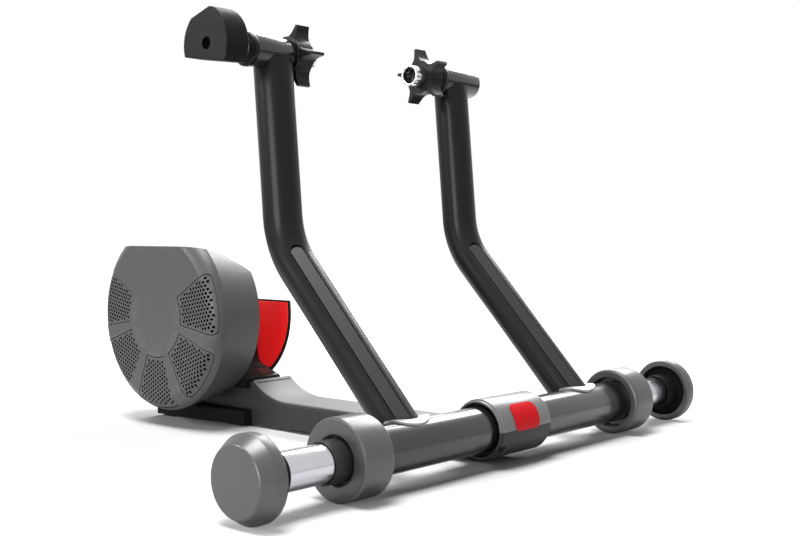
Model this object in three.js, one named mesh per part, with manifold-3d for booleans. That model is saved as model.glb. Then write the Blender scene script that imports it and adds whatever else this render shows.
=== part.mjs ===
// Wheel-on roller trainer for a bicycle's rear wheel, as an assembly of separate pieces.
// Millimetres, +Z up. X runs across the trainer, +Y runs back to the roller unit, and the
// origin is on the floor in the middle of the footprint.
import * as THREE from "three";
import { mergeVertices } from "three/addons/utils/BufferGeometryUtils.js";
import Module from "manifold-3d";

const wasm = await Module();
wasm.setup();

const degree = Math.PI / 180;
const quarterTurn = Math.PI / 2;

// Fits
const gap = 0.3; // between neighbours that touch or run on each other
const overrun = 6; // how far a cutting body runs past what it cuts
const weld = 1e-4; // vertices closer than this are one

// Facets of round forms
const fine = 44;
const medium = 24;
const coarse = 16;

// Sliding leg and what carries it, from the inside out
const leg = { radius: 17.4, wall: 2, length: 201.7 };
const bush = { wall: 2.5, lipWall: 1.7, reach: 23.3, inside: 34, edge: 1 };
const tube = { wall: 2.5, halfLength: 238.7 };
const tubeBore = leg.radius + gap + bush.wall + gap;
const tubeRadius = tubeBore + tube.wall;

// The end rings and foot caps roll on the floor, so their radius is also the height of
// the cross tube's axis.
const ring = {
  wall: 14.5,
  length: 38,
  mouthGap: 5.5,
  mouthDepth: 15,
  holeClearance: 1.8,
  shoulder: 6,
  edge: 1.5,
  innerEdge: 3,
};
const floorRadius = tubeRadius + ring.wall;
const cap = {
  inner: 332.4,
  length: 24.6,
  straight: 12.6,
  step: 3,
  stepDrop: 1.5,
  bevel: 7.4,
  bossWall: 2.1,
  bossLength: 18,
  rimWall: 7.5,
  recessDepth: 5,
  floor: 5,
};

// Uprights, bent once, from the cross tube's axis to the clamp axis
const upright = {
  spread: 145.5,
  radius: 20.3,
  wall: 3.6,
  lowerLength: 250.3,
  lowerTilt: 47 * degree,
  upperLength: 199,
  upperTilt: 84.85 * degree,
  bendRadius: 90,
  bendSteps: 6,
  topDrop: 7,
};
const trim = {
  turn: 28 * degree,
  width: 15,
  channelDepth: 2.6,
  skin: 0.3,
  setOff: 11,
  topSetBack: 24.3,
};
const saddle = { halfWidth: 26, halfLength: 17.5, setBack: 4.7, wall: 2 };

// Axle clamps, on one axis across the tops of the uprights
const spindle = {
  radius: 10,
  cupRadius: 12.4,
  leftRim: 93, // from the middle to the cup's rim
  leftCupLength: 10,
  rightRim: 69,
  rightCupLength: 16.6,
  hollowRadius: 9.4,
  hollowDepth: 9,
  cupEdge: 0.8,
  outer: 166,
};
const sleeve = { radius: 16.6, leftOuter: 177, rightOuter: 184.5 };
const knob = {
  lobes: 5,
  hubRadius: 19.6,
  hubEdge: 1.6,
  length: 20.5,
  tipLength: 16.9,
  tipRadius: 33.3,
  tipHalf: 1.3,
  waistRadius: 25,
  waistHalf: 3,
  rootHalf: 6.5,
  leftTurn: 73.3 * degree,
  rightTurn: 98.7 * degree,
};
const leftWasher = { radius: 19.8, length: 2.5 };
const rightWasher = { radius: 18.7, length: 4.4 };
const lockRing = { radius: 18, length: 10.3, groove: 1.6 };
const endCollar = { radius: 17.2, length: 5.9, bevel: 1.5 };
const handle = {
  radius: 35.6,
  length: 24,
  standOff: 24.3,
  flatDrop: 15.7,
  lip: 0.4,
  facetDistance: 32.5,
  facetAngle: 64.5 * degree,
  tilt: 8.5 * degree,
  holeRadius: 6,
  holeDepth: 8,
  round: 2.6,
};
const handleShaft = { radius: 12, spindleGap: 4 };

// Collar that the frame folds in
const collar = { bushWall: 3.6, wall: 3.3, halfLength: 44, lip: 3.5, lipDrop: 1.3, bushHalf: 31 };
const badge = {
  halfWidth: 20.5,
  thickness: 0.9,
  low: -2 * degree,
  high: 51 * degree,
  corner: 8,
};
const notch = {
  length: 12.5,
  halfHeight: 4,
  turn: 36 * degree,
  screwRadius: 2.6,
  screwDepth: 0.8,
  screwSetBack: 8,
};

// Arm from the collar back to the roller unit
const arm = {
  halfWidth: 34,
  rearRise: 2.2,
  topHeight: 34,
  headHeight: 55.5,
  bendRun: 57,
  deckStart: 352,
  deckLength: 153,
  deckHeight: 44.7,
  wall: 4,
  pocketSetBack: 31,
};
const cover = { halfWidth: 30, thickness: 2.5 };
const footPlate = { top: 19.3, frontHalf: 46, rearHalf: 60 };
const pad = { thickness: 4.4, length: 18, inset: 7, sideInset: 6 };

// Roller unit, about the roller's axis
const unitHeight = 132.5; // above the floor
const roller = { radius: 34, halfWidth: 22, clearance: 4, edge: 1.5, recess: 4, rimWall: 5 };
const shaft = { radius: 6, faceClearance: 5.5 };
const bearing = { radius: 13.7, length: 6 };
const cheek = { inner: 26, thickness: 7, radius: 24 };
const carrier = {
  toeGap: 11.7,
  toe: 73,
  toeRise: 11,
  sillStart: 47,
  sillRise: 20.5,
  throat: 30.7,
  throatRise: 37,
  rearHalf: 62,
  lipDrop: 25.5,
};
const toePlate = { left: 2, right: 22, inset: 2, length: 21, thickness: 2.4 };
const guard = {
  inner: 24,
  thickness: 6,
  radius: 91.5,
  topRise: 17,
  bossRadius: 16.5,
  bossLength: 8,
  bossFloor: 3,
};
const panel = {
  rear: 30,
  rim: 4.1,
  topDrop: 2,
  tipAngle: 52 * degree,
  cornerLength: 24,
  thickness: 2.5,
};
const drum = {
  rim: 36,
  depth: 76.5,
  faceRadius: 98,
  round: 16,
  rimTaper: 11,
  wall: 2.6,
  faceTop: 85.5,
  rimTop: 54.5,
  topBulge: 9.8,
};
const vent = {
  count: 5,
  pitch: 50.5 * degree,
  halfAngle: 20 * degree,
  wrap: 12.5,
  length: 62,
  corner: 6,
  line: 0.45,
  sink: 0.7,
};
const backPlate = {
  thickness: 3,
  bore: 9,
  hubRadius: 22,
  sleeveRadius: 11.7,
  flywheelClearance: 6,
};
const flywheel = {
  radius: 72,
  faceClearance: 8.5,
  width: 16,
  rimWall: 16,
  web: 5,
  hubRadius: 14,
};
const stator = {
  radius: 49,
  clearance: 8,
  width: 22,
  flange: 4,
  coreRadius: 30,
  coilRadius: 46,
};
const board = { thickness: 1.6, standOff: 4, width: 50, height: 32, rear: 8, drop: 40, post: 3 };

// What follows from the sizes above
const ringOuter = tube.halfLength + gap + ring.shoulder;
const ringInner = ringOuter - ring.length;
const bushLipRadius = leg.radius + gap + bush.lipWall;
const capOuter = cap.inner + cap.length;
const legOuter = capOuter - cap.floor - gap;
const clampBack =
  upright.lowerLength * Math.cos(upright.lowerTilt) +
  upright.upperLength * Math.cos(upright.upperTilt);
const clampRise =
  upright.lowerLength * Math.sin(upright.lowerTilt) +
  upright.upperLength * Math.sin(upright.upperTilt);
const spindleBore = spindle.radius + gap;
const leftKnobStart = spindle.leftRim + spindle.leftCupLength + gap;
const leftSleeveStart = leftKnobStart + knob.length + gap + leftWasher.length + gap;
const rightKnobStart = spindle.rightRim + spindle.rightCupLength + gap;
const lockRingStart = rightKnobStart + knob.length + gap;
const rightWasherStart = lockRingStart + lockRing.length + gap;
const rightSleeveStart = rightWasherStart + rightWasher.length + gap;
const endCollarStart = sleeve.leftOuter + gap;
const handleStart = endCollarStart + endCollar.length + handle.standOff;
const collarBore = tubeRadius + gap + collar.bushWall + gap;
const collarRadius = collarBore + collar.wall;
const armStart = collarRadius + gap;
const bendStart = arm.deckStart - arm.bendRun;
const armRear = arm.deckStart + arm.deckLength;
const unitBack = arm.deckStart + carrier.toeGap + carrier.toe;
const deck = arm.deckHeight + gap - unitHeight;
const drumFace = drum.rim + drum.depth;
const barrelRadius = drum.faceRadius + drum.round;
const drumRimRadius = barrelRadius - drum.rimTaper;
const ventOuter = drum.faceRadius + vent.wrap;
const ventInner = ventOuter - vent.length;
const plateLeft = -drum.rim - backPlate.thickness - gap;
const flywheelLeft = -drumFace + flywheel.faceClearance;
const flywheelRight = flywheelLeft + flywheel.width;
const statorLeft = flywheelRight + stator.clearance;
const statorRight = statorLeft + stator.width;
const sleeveEnd = flywheelRight + backPlate.flywheelClearance;
const footprintMiddle = (unitBack + barrelRadius - floorRadius) / 2;

// Shapes

function asSolid(form) {
  if (!form.isBufferGeometry) return form;
  const bare = form.clone();
  bare.deleteAttribute("normal");
  bare.deleteAttribute("uv");
  const merged = mergeVertices(bare, weld);
  const triVerts = new Uint32Array(merged.index.array);
  const vertProperties = merged.attributes.position.array;
  const made = new wasm.Manifold(new wasm.Mesh({ numProp: 3, vertProperties, triVerts }));
  if (made.volume() > 0) return made;
  for (let i = 0; i < triVerts.length; i += 3) {
    [triVerts[i], triVerts[i + 1]] = [triVerts[i + 1], triVerts[i]];
  }
  return new wasm.Manifold(new wasm.Mesh({ numProp: 3, vertProperties, triVerts }));
}

function asGeometry(form) {
  if (form.isBufferGeometry) return form;
  const mesh = form.getMesh();
  const stride = mesh.numProp;
  const position = new Float32Array(mesh.numVert * 3);
  for (let i = 0; i < mesh.numVert; i++) {
    position.set(mesh.vertProperties.subarray(i * stride, i * stride + 3), i * 3);
  }
  const geometry = new THREE.BufferGeometry();
  geometry.setAttribute("position", new THREE.BufferAttribute(position, 3));
  geometry.setIndex(new THREE.BufferAttribute(new Uint32Array(mesh.triVerts), 1));
  return geometry;
}

const cut = (base, ...tools) =>
  tools.reduce((left, tool) => left.subtract(asSolid(tool)), asSolid(base));
const join = (base, ...others) =>
  others.reduce((whole, other) => whole.add(asSolid(other)), asSolid(base));
const common = (base, ...others) =>
  others.reduce((shared, other) => shared.intersect(asSolid(other)), asSolid(base));

// A body turned about the X axis, from [along, radius] points.
function turned(profile, facets) {
  const points = profile.map(([along, radius]) => new THREE.Vector2(radius, along));
  return new THREE.LatheGeometry(points, facets).rotateZ(-quarterTurn);
}

function rod(from, to, radius, facets) {
  return turned([[from, 0], [from, radius], [to, radius], [to, 0]], facets);
}

function hoop(from, to, bore, radius, facets) {
  const profile = [[from, bore], [from, radius], [to, radius], [to, bore], [from, bore]];
  return turned(profile, facets);
}

// Turns a shape drawn as (across, up) into the YZ plane, with its depth along X.
const yzBasis = new THREE.Matrix4().makeBasis(
  new THREE.Vector3(0, 1, 0),
  new THREE.Vector3(0, 0, 1),
  new THREE.Vector3(1, 0, 0),
);

// A flat outline in the YZ plane, given thickness along X.
function plate(shape, from, to, curveSegments = 6) {
  return new THREE.ExtrudeGeometry(shape, { depth: to - from, bevelEnabled: false, curveSegments })
    .applyMatrix4(yzBasis)
    .translate(from, 0, 0);
}

function block(xFrom, xTo, yFrom, yTo, zFrom, zTo) {
  return new THREE.BoxGeometry(xTo - xFrom, yTo - yFrom, zTo - zFrom).translate(
    (xFrom + xTo) / 2,
    (yFrom + yTo) / 2,
    (zFrom + zTo) / 2,
  );
}

function outline(points) {
  return new THREE.Shape(points.map(([across, up]) => new THREE.Vector2(across, up)));
}

// A direction in the YZ plane: zero points to the front and a quarter turn points up.
function aim(angle, distance) {
  return [-Math.cos(angle) * distance, Math.sin(angle) * distance];
}

function piece(parent, name, form, colour, roughness, metalness) {
  const material = new THREE.MeshStandardMaterial({ color: colour, roughness, metalness });
  const geometry = asGeometry(form);
  geometry.computeVertexNormals();
  const mesh = new THREE.Mesh(geometry, material);
  mesh.name = name;
  parent.add(mesh);
  return mesh;
}

function group(parent, y, z) {
  const made = new THREE.Group();
  made.position.set(0, y, z);
  parent.add(made);
  return made;
}

// Colours, roughness and metalness of the finishes
const finish = {
  charcoalGloss: ["#3b3c3f", 0.22, 0.15],
  blackGloss: ["#26272a", 0.28, 0.15],
  greyRubber: ["#5c5d5f", 0.6, 0],
  greyMoulding: ["#5e5f61", 0.55, 0],
  darkMoulding: ["#3c3d3f", 0.55, 0],
  blackMoulding: ["#1c1c1e", 0.5, 0],
  blackRubber: ["#161617", 0.75, 0],
  chrome: ["#dcdde2", 0.1, 1],
  satinSilver: ["#b9babd", 0.35, 0.8],
  redGloss: ["#e02020", 0.3, 0],
  steel: ["#8d9094", 0.35, 1],
  castIron: ["#55575a", 0.6, 0.8],
  copper: ["#b5713f", 0.35, 1],
  boardGreen: ["#1f5a3a", 0.5, 0],
};

const trainer = new THREE.Group();
trainer.position.set(0, -footprintMiddle, 0);

// Folding frame: cross tube, rings, uprights and clamp sleeves
const frame = group(trainer, 0, floorRadius);
const clamps = group(frame, clampBack, clampRise);
const sides = [["left", -1], ["right", 1]];

function crossTube() {
  return hoop(-tube.halfLength, tube.halfLength, tubeBore, tubeRadius, fine);
}

function endRing() {
  const bore = tubeRadius + gap;
  const mouth = tubeRadius + ring.mouthGap;
  const mouthEnd = ringInner + ring.mouthDepth;
  const seat = ringOuter - ring.shoulder;
  const hole = bushLipRadius + ring.holeClearance;
  return turned(
    [
      [ringInner, mouth],
      [ringInner, floorRadius - ring.innerEdge],
      [ringInner + ring.innerEdge / 4, floorRadius - ring.innerEdge / 2],
      [ringInner + ring.innerEdge, floorRadius],
      [ringOuter - ring.edge, floorRadius],
      [ringOuter, floorRadius - ring.edge],
      [ringOuter, hole],
      [seat, hole],
      [seat, bore],
      [mouthEnd, bore],
      [mouthEnd, mouth],
      [ringInner, mouth],
    ],
    fine,
  );
}

function legBush() {
  const bore = leg.radius + gap;
  const start = tube.halfLength - bush.inside;
  const end = tube.halfLength + bush.reach;
  return turned(
    [
      [start, bore],
      [start, tubeBore - gap],
      [tube.halfLength, tubeBore - gap],
      [tube.halfLength, bushLipRadius],
      [end - bush.edge, bushLipRadius],
      [end, bushLipRadius - bush.edge],
      [end, bore],
      [start, bore],
    ],
    medium,
  );
}

// The bent line of an upright in its own YZ plane, which gives each straight run one step.
class UprightLine extends THREE.Curve {
  constructor(extra) {
    super();
    const turn = upright.upperTilt - upright.lowerTilt;
    const tangent = upright.bendRadius * Math.tan(turn / 2);
    this.steps = upright.bendSteps + 2;
    this.turn = turn;
    this.start = this.onLower(-extra);
    this.bendStart = this.onLower(upright.lowerLength - tangent);
    this.bendEnd = this.onUpper(tangent);
    this.end = this.onUpper(upright.upperLength - upright.topDrop + extra);
    this.centre = new THREE.Vector3(
      0,
      this.bendStart.y - upright.bendRadius * Math.sin(upright.lowerTilt),
      this.bendStart.z + upright.bendRadius * Math.cos(upright.lowerTilt),
    );
  }

  onLower(distance) {
    const [back, up] = [Math.cos(upright.lowerTilt), Math.sin(upright.lowerTilt)];
    return new THREE.Vector3(0, back * distance, up * distance);
  }

  onUpper(distance) {
    const bend = this.onLower(upright.lowerLength);
    const [back, up] = [Math.cos(upright.upperTilt), Math.sin(upright.upperTilt)];
    return new THREE.Vector3(0, bend.y + back * distance, bend.z + up * distance);
  }

  getPoint(t, target = new THREE.Vector3()) {
    const step = t * this.steps;
    if (step < 1) return target.lerpVectors(this.start, this.bendStart, step);
    if (step > this.steps - 1) {
      return target.lerpVectors(this.bendEnd, this.end, step - this.steps + 1);
    }
    const angle = upright.lowerTilt + (this.turn * (step - 1)) / upright.bendSteps;
    return target.set(
      0,
      this.centre.y + upright.bendRadius * Math.sin(angle),
      this.centre.z - upright.bendRadius * Math.cos(angle),
    );
  }

  getPointAt(t, target) {
    return this.getPoint(t, target);
  }

  getTangentAt(t, target) {
    return this.getTangent(t, target);
  }
}

function bentRod(radius, extra) {
  const line = new UprightLine(extra);
  const round = new THREE.Shape().absarc(0, 0, radius, 0, 2 * Math.PI);
  return new THREE.ExtrudeGeometry(round, {
    steps: line.steps,
    extrudePath: line,
    curveSegments: coarse / 2,
  });
}

// The long channel down the lower run, as a bar that stands on the channel's floor.
function trimBar(inset, floor) {
  const along = new THREE.Vector3(0, Math.cos(upright.lowerTilt), Math.sin(upright.lowerTilt));
  const front = new THREE.Vector3(0, -Math.sin(upright.lowerTilt), Math.cos(upright.lowerTilt));
  const out = front.multiplyScalar(Math.cos(trim.turn));
  out.x = -Math.sin(trim.turn);
  const across = new THREE.Vector3().crossVectors(along, out);
  const half = trim.width / 2 - inset;
  const start = tubeRadius + trim.setOff + inset;
  const top = upright.lowerLength - trim.topSetBack - trim.width / 2;
  const shape = new THREE.Shape();
  shape.moveTo(-half, start);
  shape.lineTo(half, start);
  shape.lineTo(half, top);
  shape.absarc(0, top, half, 0, Math.PI);
  shape.closePath();
  return new THREE.ExtrudeGeometry(shape, {
    depth: upright.radius - floor + overrun,
    bevelEnabled: false,
    curveSegments: 5,
  })
    .translate(0, 0, floor)
    .applyMatrix4(new THREE.Matrix4().makeBasis(across, along, out));
}

const channelFloor = upright.radius - trim.channelDepth;
const sleeveClear = rod(
  -upright.spread,
  upright.spread,
  sleeve.radius + gap,
  medium,
).translate(0, clampBack, clampRise);

// Where the left washer lies against its upright.
const washerSeat = rod(
  upright.spread - leftSleeveStart,
  upright.radius + overrun,
  leftWasher.radius + gap,
  medium,
).translate(0, clampBack, clampRise);

function uprightTube(side) {
  const crossClear = rod(-upright.spread, upright.spread, tubeRadius + gap, fine);
  const inside = bentRod(upright.radius - upright.wall, overrun);
  const channel = trimBar(0, channelFloor);
  const bent = cut(bentRod(upright.radius, 0), inside, crossClear, sleeveClear, channel);
  return side === "left" ? cut(bent, washerSeat) : bent;
}

function uprightTrim() {
  const skin = bentRod(upright.radius - trim.skin, 0);
  return common(trimBar(gap + trim.skin, channelFloor + gap), skin);
}

// A rounded flange on top of the cross tube, with the upright's foot through it.
function footSaddle() {
  const bore = tubeRadius + gap;
  const shell = hoop(-upright.spread, upright.spread, bore, bore + saddle.wall, fine);
  const oval = new THREE.Shape();
  oval.absellipse(0, 0, saddle.halfWidth, saddle.halfLength, 0, 2 * Math.PI);
  const outside = new THREE.ExtrudeGeometry(oval, {
    depth: floorRadius,
    bevelEnabled: false,
    curveSegments: 16,
  }).translate(0, saddle.setBack, 0);
  return cut(common(shell, outside), bentRod(upright.radius + gap, 0));
}

piece(frame, "cross_tube", crossTube(), ...finish.charcoalGloss);
for (const [side, sign] of sides) {
  piece(frame, `${side}_end_ring`, endRing(), ...finish.greyRubber).scale.x = sign;
  piece(frame, `${side}_leg_bush`, legBush(), ...finish.darkMoulding).scale.x = sign;
  const across = sign * upright.spread;
  piece(frame, `${side}_upright`, uprightTube(side), ...finish.blackGloss).position.x = across;
  piece(frame, `${side}_upright_trim`, uprightTrim(), ...finish.darkMoulding).position.x = across;
  piece(frame, `${side}_foot_saddle`, footSaddle(), ...finish.satinSilver).position.x = across;
}

// Sliding legs with their foot caps
function legTube() {
  return hoop(legOuter - leg.length, legOuter, leg.radius - leg.wall, leg.radius, medium);
}

function footCap() {
  const bore = leg.radius + gap;
  const boreEnd = capOuter - cap.floor;
  const boss = bore + cap.bossWall;
  const recess = floorRadius - cap.rimWall;
  const recessEnd = cap.inner + cap.recessDepth;
  const bossEnd = cap.inner - cap.bossLength;
  return turned(
    [
      [boreEnd, 0],
      [boreEnd, bore],
      [bossEnd, bore],
      [bossEnd, boss],
      [recessEnd, boss],
      [recessEnd, recess],
      [cap.inner, recess],
      [cap.inner, floorRadius - cap.stepDrop],
      [cap.inner + cap.step, floorRadius - cap.stepDrop],
      [cap.inner + cap.step, floorRadius],
      [cap.inner + cap.straight, floorRadius],
      [capOuter, floorRadius - cap.bevel],
      [capOuter, 0],
    ],
    fine,
  );
}

const legs = group(trainer, 0, floorRadius);
for (const [side, sign] of sides) {
  piece(legs, `${side}_leg_tube`, legTube(), ...finish.chrome).scale.x = sign;
  piece(legs, `${side}_foot_cap`, footCap(), ...finish.greyRubber).scale.x = sign;
}

// Axle clamps
function clampSleeve(start, outer) {
  return hoop(start, outer, spindleBore, sleeve.radius, medium);
}

// A spindle whose end is a cup, with the cup's rim at the tip.
function axleSpindle(rim, cupLength) {
  const floor = rim + spindle.hollowDepth;
  const shoulder = rim + cupLength;
  return turned(
    [
      [floor, 0],
      [floor, spindle.hollowRadius],
      [rim, spindle.hollowRadius],
      [rim, spindle.cupRadius - spindle.cupEdge],
      [rim + spindle.cupEdge, spindle.cupRadius],
      [shoulder, spindle.cupRadius],
      [shoulder, spindle.radius],
      [spindle.outer, spindle.radius],
      [spindle.outer, 0],
    ],
    medium,
  );
}

// A knob with thin lobes that slope back from their tips to a round hub.
function starKnob(start, turn) {
  const end = start + knob.length;
  const pitch = (2 * Math.PI) / knob.lobes;
  const shape = new THREE.Shape();
  for (let lobe = 0; lobe < knob.lobes; lobe++) {
    const middle = Math.PI - turn - lobe * pitch;
    const [c, s] = [Math.cos(middle), Math.sin(middle)];
    const at = (out, side) => [c * out - s * side, s * out + c * side];
    const flank = (side) => [
      at(knob.hubRadius - knob.hubEdge, side * knob.rootHalf),
      at(knob.waistRadius, side * knob.waistHalf),
      at(knob.tipRadius, side * knob.tipHalf),
    ];
    const points = [...flank(1), ...flank(-1).reverse()];
    points.forEach((point, i) => {
      if (lobe === 0 && i === 0) shape.moveTo(...point);
      else shape.lineTo(...point);
    });
  }
  shape.closePath();
  const slope = [
    [start, 0],
    [start, knob.tipRadius + overrun],
    [start + knob.tipLength, knob.tipRadius + overrun],
    [start + knob.tipLength, knob.tipRadius],
    [end, knob.hubRadius],
    [end, 0],
  ];
  const hub = [
    [start, 0],
    [start, knob.hubRadius - knob.hubEdge],
    [start + knob.hubEdge, knob.hubRadius],
    [end, knob.hubRadius],
    [end, 0],
  ];
  const lobes = common(plate(shape, start, end), turned(slope, fine));
  const bore = rod(start - overrun, end + overrun, spindleBore, medium);
  return cut(join(lobes, turned(hub, medium)), bore);
}

// The nut that locks the adjusting knob, with a groove round its middle.
function lockNut() {
  const end = lockRingStart + lockRing.length;
  const middle = (lockRingStart + end) / 2;
  const half = lockRing.groove / 2;
  return turned(
    [
      [lockRingStart, spindleBore],
      [lockRingStart, lockRing.radius],
      [middle - half, lockRing.radius],
      [middle - half, lockRing.radius - lockRing.groove],
      [middle + half, lockRing.radius - lockRing.groove],
      [middle + half, lockRing.radius],
      [end, lockRing.radius],
      [end, spindleBore],
      [lockRingStart, spindleBore],
    ],
    medium,
  );
}

function endCollarRing() {
  const to = endCollarStart + endCollar.length;
  return turned(
    [
      [endCollarStart, spindleBore],
      [endCollarStart, endCollar.radius],
      [to - endCollar.bevel, endCollar.radius],
      [to, endCollar.radius - endCollar.bevel],
      [to, spindleBore],
      [endCollarStart, spindleBore],
    ],
    medium,
  );
}

// A round handle with a flat along one side, a lip at the flat's front and a facet.
function clampHandle() {
  const inset = handle.round;
  const radius = handle.radius - inset;
  const bottom = -handle.flatDrop + inset;
  const half = Math.acos((handle.facetDistance - inset) / radius);
  const back = Math.asin((handle.flatDrop - inset) / radius);
  const shape = new THREE.Shape();
  shape.moveTo(-radius - handle.lip, bottom);
  shape.lineTo(radius * Math.cos(back), bottom);
  shape.absarc(0, 0, radius, -back, handle.facetAngle - half);
  shape.absarc(0, 0, radius, handle.facetAngle + half, Math.PI);
  shape.closePath();
  const inner = handleStart + inset;
  const body = new THREE.ExtrudeGeometry(shape, {
    depth: handle.length - 2 * inset,
    bevelThickness: inset,
    bevelSize: inset,
    bevelSegments: 3,
    curveSegments: 8,
  })
    .applyMatrix4(yzBasis)
    .translate(inner, 0, 0);
  const outer = handleStart + handle.length;
  const bore = rod(handleStart - overrun, outer + overrun, handle.holeRadius + gap, coarse);
  return asGeometry(cut(body, bore)).rotateX(handle.tilt);
}

function handleSpindle() {
  const inner = spindle.outer + handleShaft.spindleGap;
  const shoulder = endCollarStart + endCollar.length + gap;
  const seat = handleStart - gap;
  const end = handleStart + handle.length - handle.holeDepth;
  return turned(
    [
      [inner, 0],
      [inner, spindle.radius],
      [shoulder, spindle.radius],
      [shoulder, handleShaft.radius],
      [seat, handleShaft.radius],
      [seat, handle.holeRadius],
      [end, handle.holeRadius],
      [end, 0],
    ],
    medium,
  );
}

const leftWasherStart = leftKnobStart + knob.length + gap;
const black = finish.blackMoulding;
const leftPieces = [
  ["left_clamp_sleeve", clampSleeve(leftSleeveStart, sleeve.leftOuter), finish.charcoalGloss],
  ["left_clamp_washer", clampWasher(leftWasherStart, leftWasher), black],
  ["left_spindle", axleSpindle(spindle.leftRim, spindle.leftCupLength), finish.chrome],
  ["left_lock_knob", starKnob(leftKnobStart, knob.leftTurn), black],
  ["left_end_collar", endCollarRing(), black],
  ["handle_shaft", handleSpindle(), finish.satinSilver],
  ["clamp_handle", clampHandle(), finish.darkMoulding],
];
for (const [name, form, look] of leftPieces) piece(clamps, name, form, ...look).scale.x = -1;
const rightPieces = [
  ["right_clamp_sleeve", clampSleeve(rightSleeveStart, sleeve.rightOuter), finish.charcoalGloss],
  ["right_clamp_washer", clampWasher(rightWasherStart, rightWasher), finish.darkMoulding],
  ["right_spindle", axleSpindle(spindle.rightRim, spindle.rightCupLength), finish.chrome],
  ["right_adjust_knob", starKnob(rightKnobStart, knob.rightTurn), black],
  ["right_lock_ring", lockNut(), black],
];
for (const [name, form, look] of rightPieces) piece(clamps, name, form, ...look);

function clampWasher(start, size) {
  return hoop(start, start + size.length, spindleBore, size.radius, medium);
}

// Base: the collar, the arm behind it and the foot under the roller unit
const base = group(trainer, 0, 0);
const collarGroup = group(base, 0, floorRadius);

function collarShell() {
  const lipRadius = collarRadius - collar.lipDrop;
  const lipStart = collar.halfLength - collar.lip;
  return turned(
    [
      [-collar.halfLength, collarBore],
      [-collar.halfLength, lipRadius],
      [-lipStart, lipRadius],
      [-lipStart, collarRadius],
      [lipStart, collarRadius],
      [lipStart, lipRadius],
      [collar.halfLength, lipRadius],
      [collar.halfLength, collarBore],
      [-collar.halfLength, collarBore],
    ],
    fine,
  );
}

// Half of the space round the collar, above or below the plane of its seam.
function halfSpace(sign) {
  const reach = collarRadius + overrun;
  const side = collar.halfLength + overrun;
  const near = gap / 2;
  return sign > 0
    ? block(-side, side, -reach, reach, near, reach)
    : block(-side, side, -reach, reach, -reach, -near);
}

function collarCap() {
  return common(collarShell(), halfSpace(1));
}

function collarBush() {
  return hoop(-collar.bushHalf, collar.bushHalf, tubeRadius + gap, collarBore - gap, fine);
}

function collarBadge() {
  const inner = collarRadius + gap;
  const shell = hoop(-badge.halfWidth, badge.halfWidth, inner, inner + badge.thickness, fine);
  const middle = (badge.low + badge.high) / 2;
  const half = ((badge.high - badge.low) / 2) * collarRadius;
  const width = badge.halfWidth;
  const corner = badge.corner;
  const shape = new THREE.Shape();
  shape.moveTo(-width + corner, -half);
  shape.lineTo(width - corner, -half);
  shape.quadraticCurveTo(width, -half, width, -half + corner);
  shape.lineTo(width, half - corner);
  shape.quadraticCurveTo(width, half, width - corner, half);
  shape.lineTo(-width + corner, half);
  shape.quadraticCurveTo(-width, half, -width, half - corner);
  shape.lineTo(-width, -half + corner);
  shape.quadraticCurveTo(-width, -half, -width + corner, -half);
  const prism = new THREE.ExtrudeGeometry(shape, {
    depth: 2 * collarRadius,
    bevelEnabled: false,
    curveSegments: 4,
  });
  prism.rotateX(quarterTurn).rotateX(-middle);
  return common(shell, prism);
}

// The screw's seat low on the left end of the collar, in the collar's own frame.
function notchBlock() {
  const depth = collar.wall + overrun;
  const from = -collar.halfLength - overrun;
  const to = -collar.halfLength + notch.length;
  const floor = -collarBore - notch.screwDepth;
  const half = notch.halfHeight;
  const seat = block(from, to, floor - depth, floor, -half, half);
  return seat.rotateX(notch.turn);
}

function collarScrew() {
  const middle = -collar.halfLength + notch.screwSetBack;
  const from = collarBore + notch.screwDepth + gap;
  const to = collarRadius - notch.screwDepth;
  const screw = rod(from, to, notch.screwRadius, coarse);
  return screw.rotateZ(-quarterTurn).translate(middle, 0, 0).rotateX(notch.turn);
}

const bendRise = arm.headHeight - arm.topHeight;
const bendRadius = (arm.bendRun ** 2 + bendRise ** 2) / (2 * bendRise);
const bendAngle = Math.asin(arm.bendRun / bendRadius);
const bendCentre = arm.topHeight + bendRadius;

function armCover() {
  const under = bendRadius + cover.thickness;
  const shape = new THREE.Shape();
  shape.moveTo(armStart, arm.topHeight);
  shape.lineTo(armStart, arm.topHeight - cover.thickness);
  shape.lineTo(bendStart, arm.topHeight - cover.thickness);
  shape.absarc(bendStart, bendCentre, under, -quarterTurn, -quarterTurn + bendAngle);
  shape.absarc(bendStart, bendCentre, bendRadius, -quarterTurn + bendAngle, -quarterTurn, true);
  shape.closePath();
  return plate(shape, -cover.halfWidth, cover.halfWidth, 5);
}

function armBody() {
  const drop = cover.thickness + gap;
  const under = bendRadius + drop;
  const endAngle = -quarterTurn + bendAngle;
  const shape = new THREE.Shape();
  shape.moveTo(0, floorRadius - collarRadius);
  shape.lineTo(arm.deckStart, arm.rearRise);
  shape.lineTo(arm.deckStart, footPlate.top + gap);
  shape.lineTo(armRear, footPlate.top + gap);
  shape.lineTo(armRear, arm.deckHeight);
  shape.lineTo(bendStart + under * Math.cos(endAngle), arm.deckHeight);
  shape.absarc(bendStart, bendCentre, under, endAngle, -quarterTurn, true);
  shape.lineTo(0, arm.topHeight - drop);
  shape.closePath();
  const lowerShell = common(collarShell(), halfSpace(-1));
  const bar = plate(shape, -arm.halfWidth, arm.halfWidth, 5);
  const inner = rod(-collar.halfLength, collar.halfLength, collarBore, fine);
  const pocket = block(
    -arm.halfWidth + arm.wall,
    arm.halfWidth - arm.wall,
    armStart + arm.pocketSetBack,
    arm.deckStart - arm.wall,
    -overrun,
    arm.topHeight - drop - arm.wall,
  );
  const solidArm = join(bar, asGeometry(lowerShell).translate(0, 0, floorRadius));
  return cut(
    solidArm,
    inner.translate(0, 0, floorRadius),
    pocket,
    notchBlock().translate(0, 0, floorRadius),
  );
}

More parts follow.
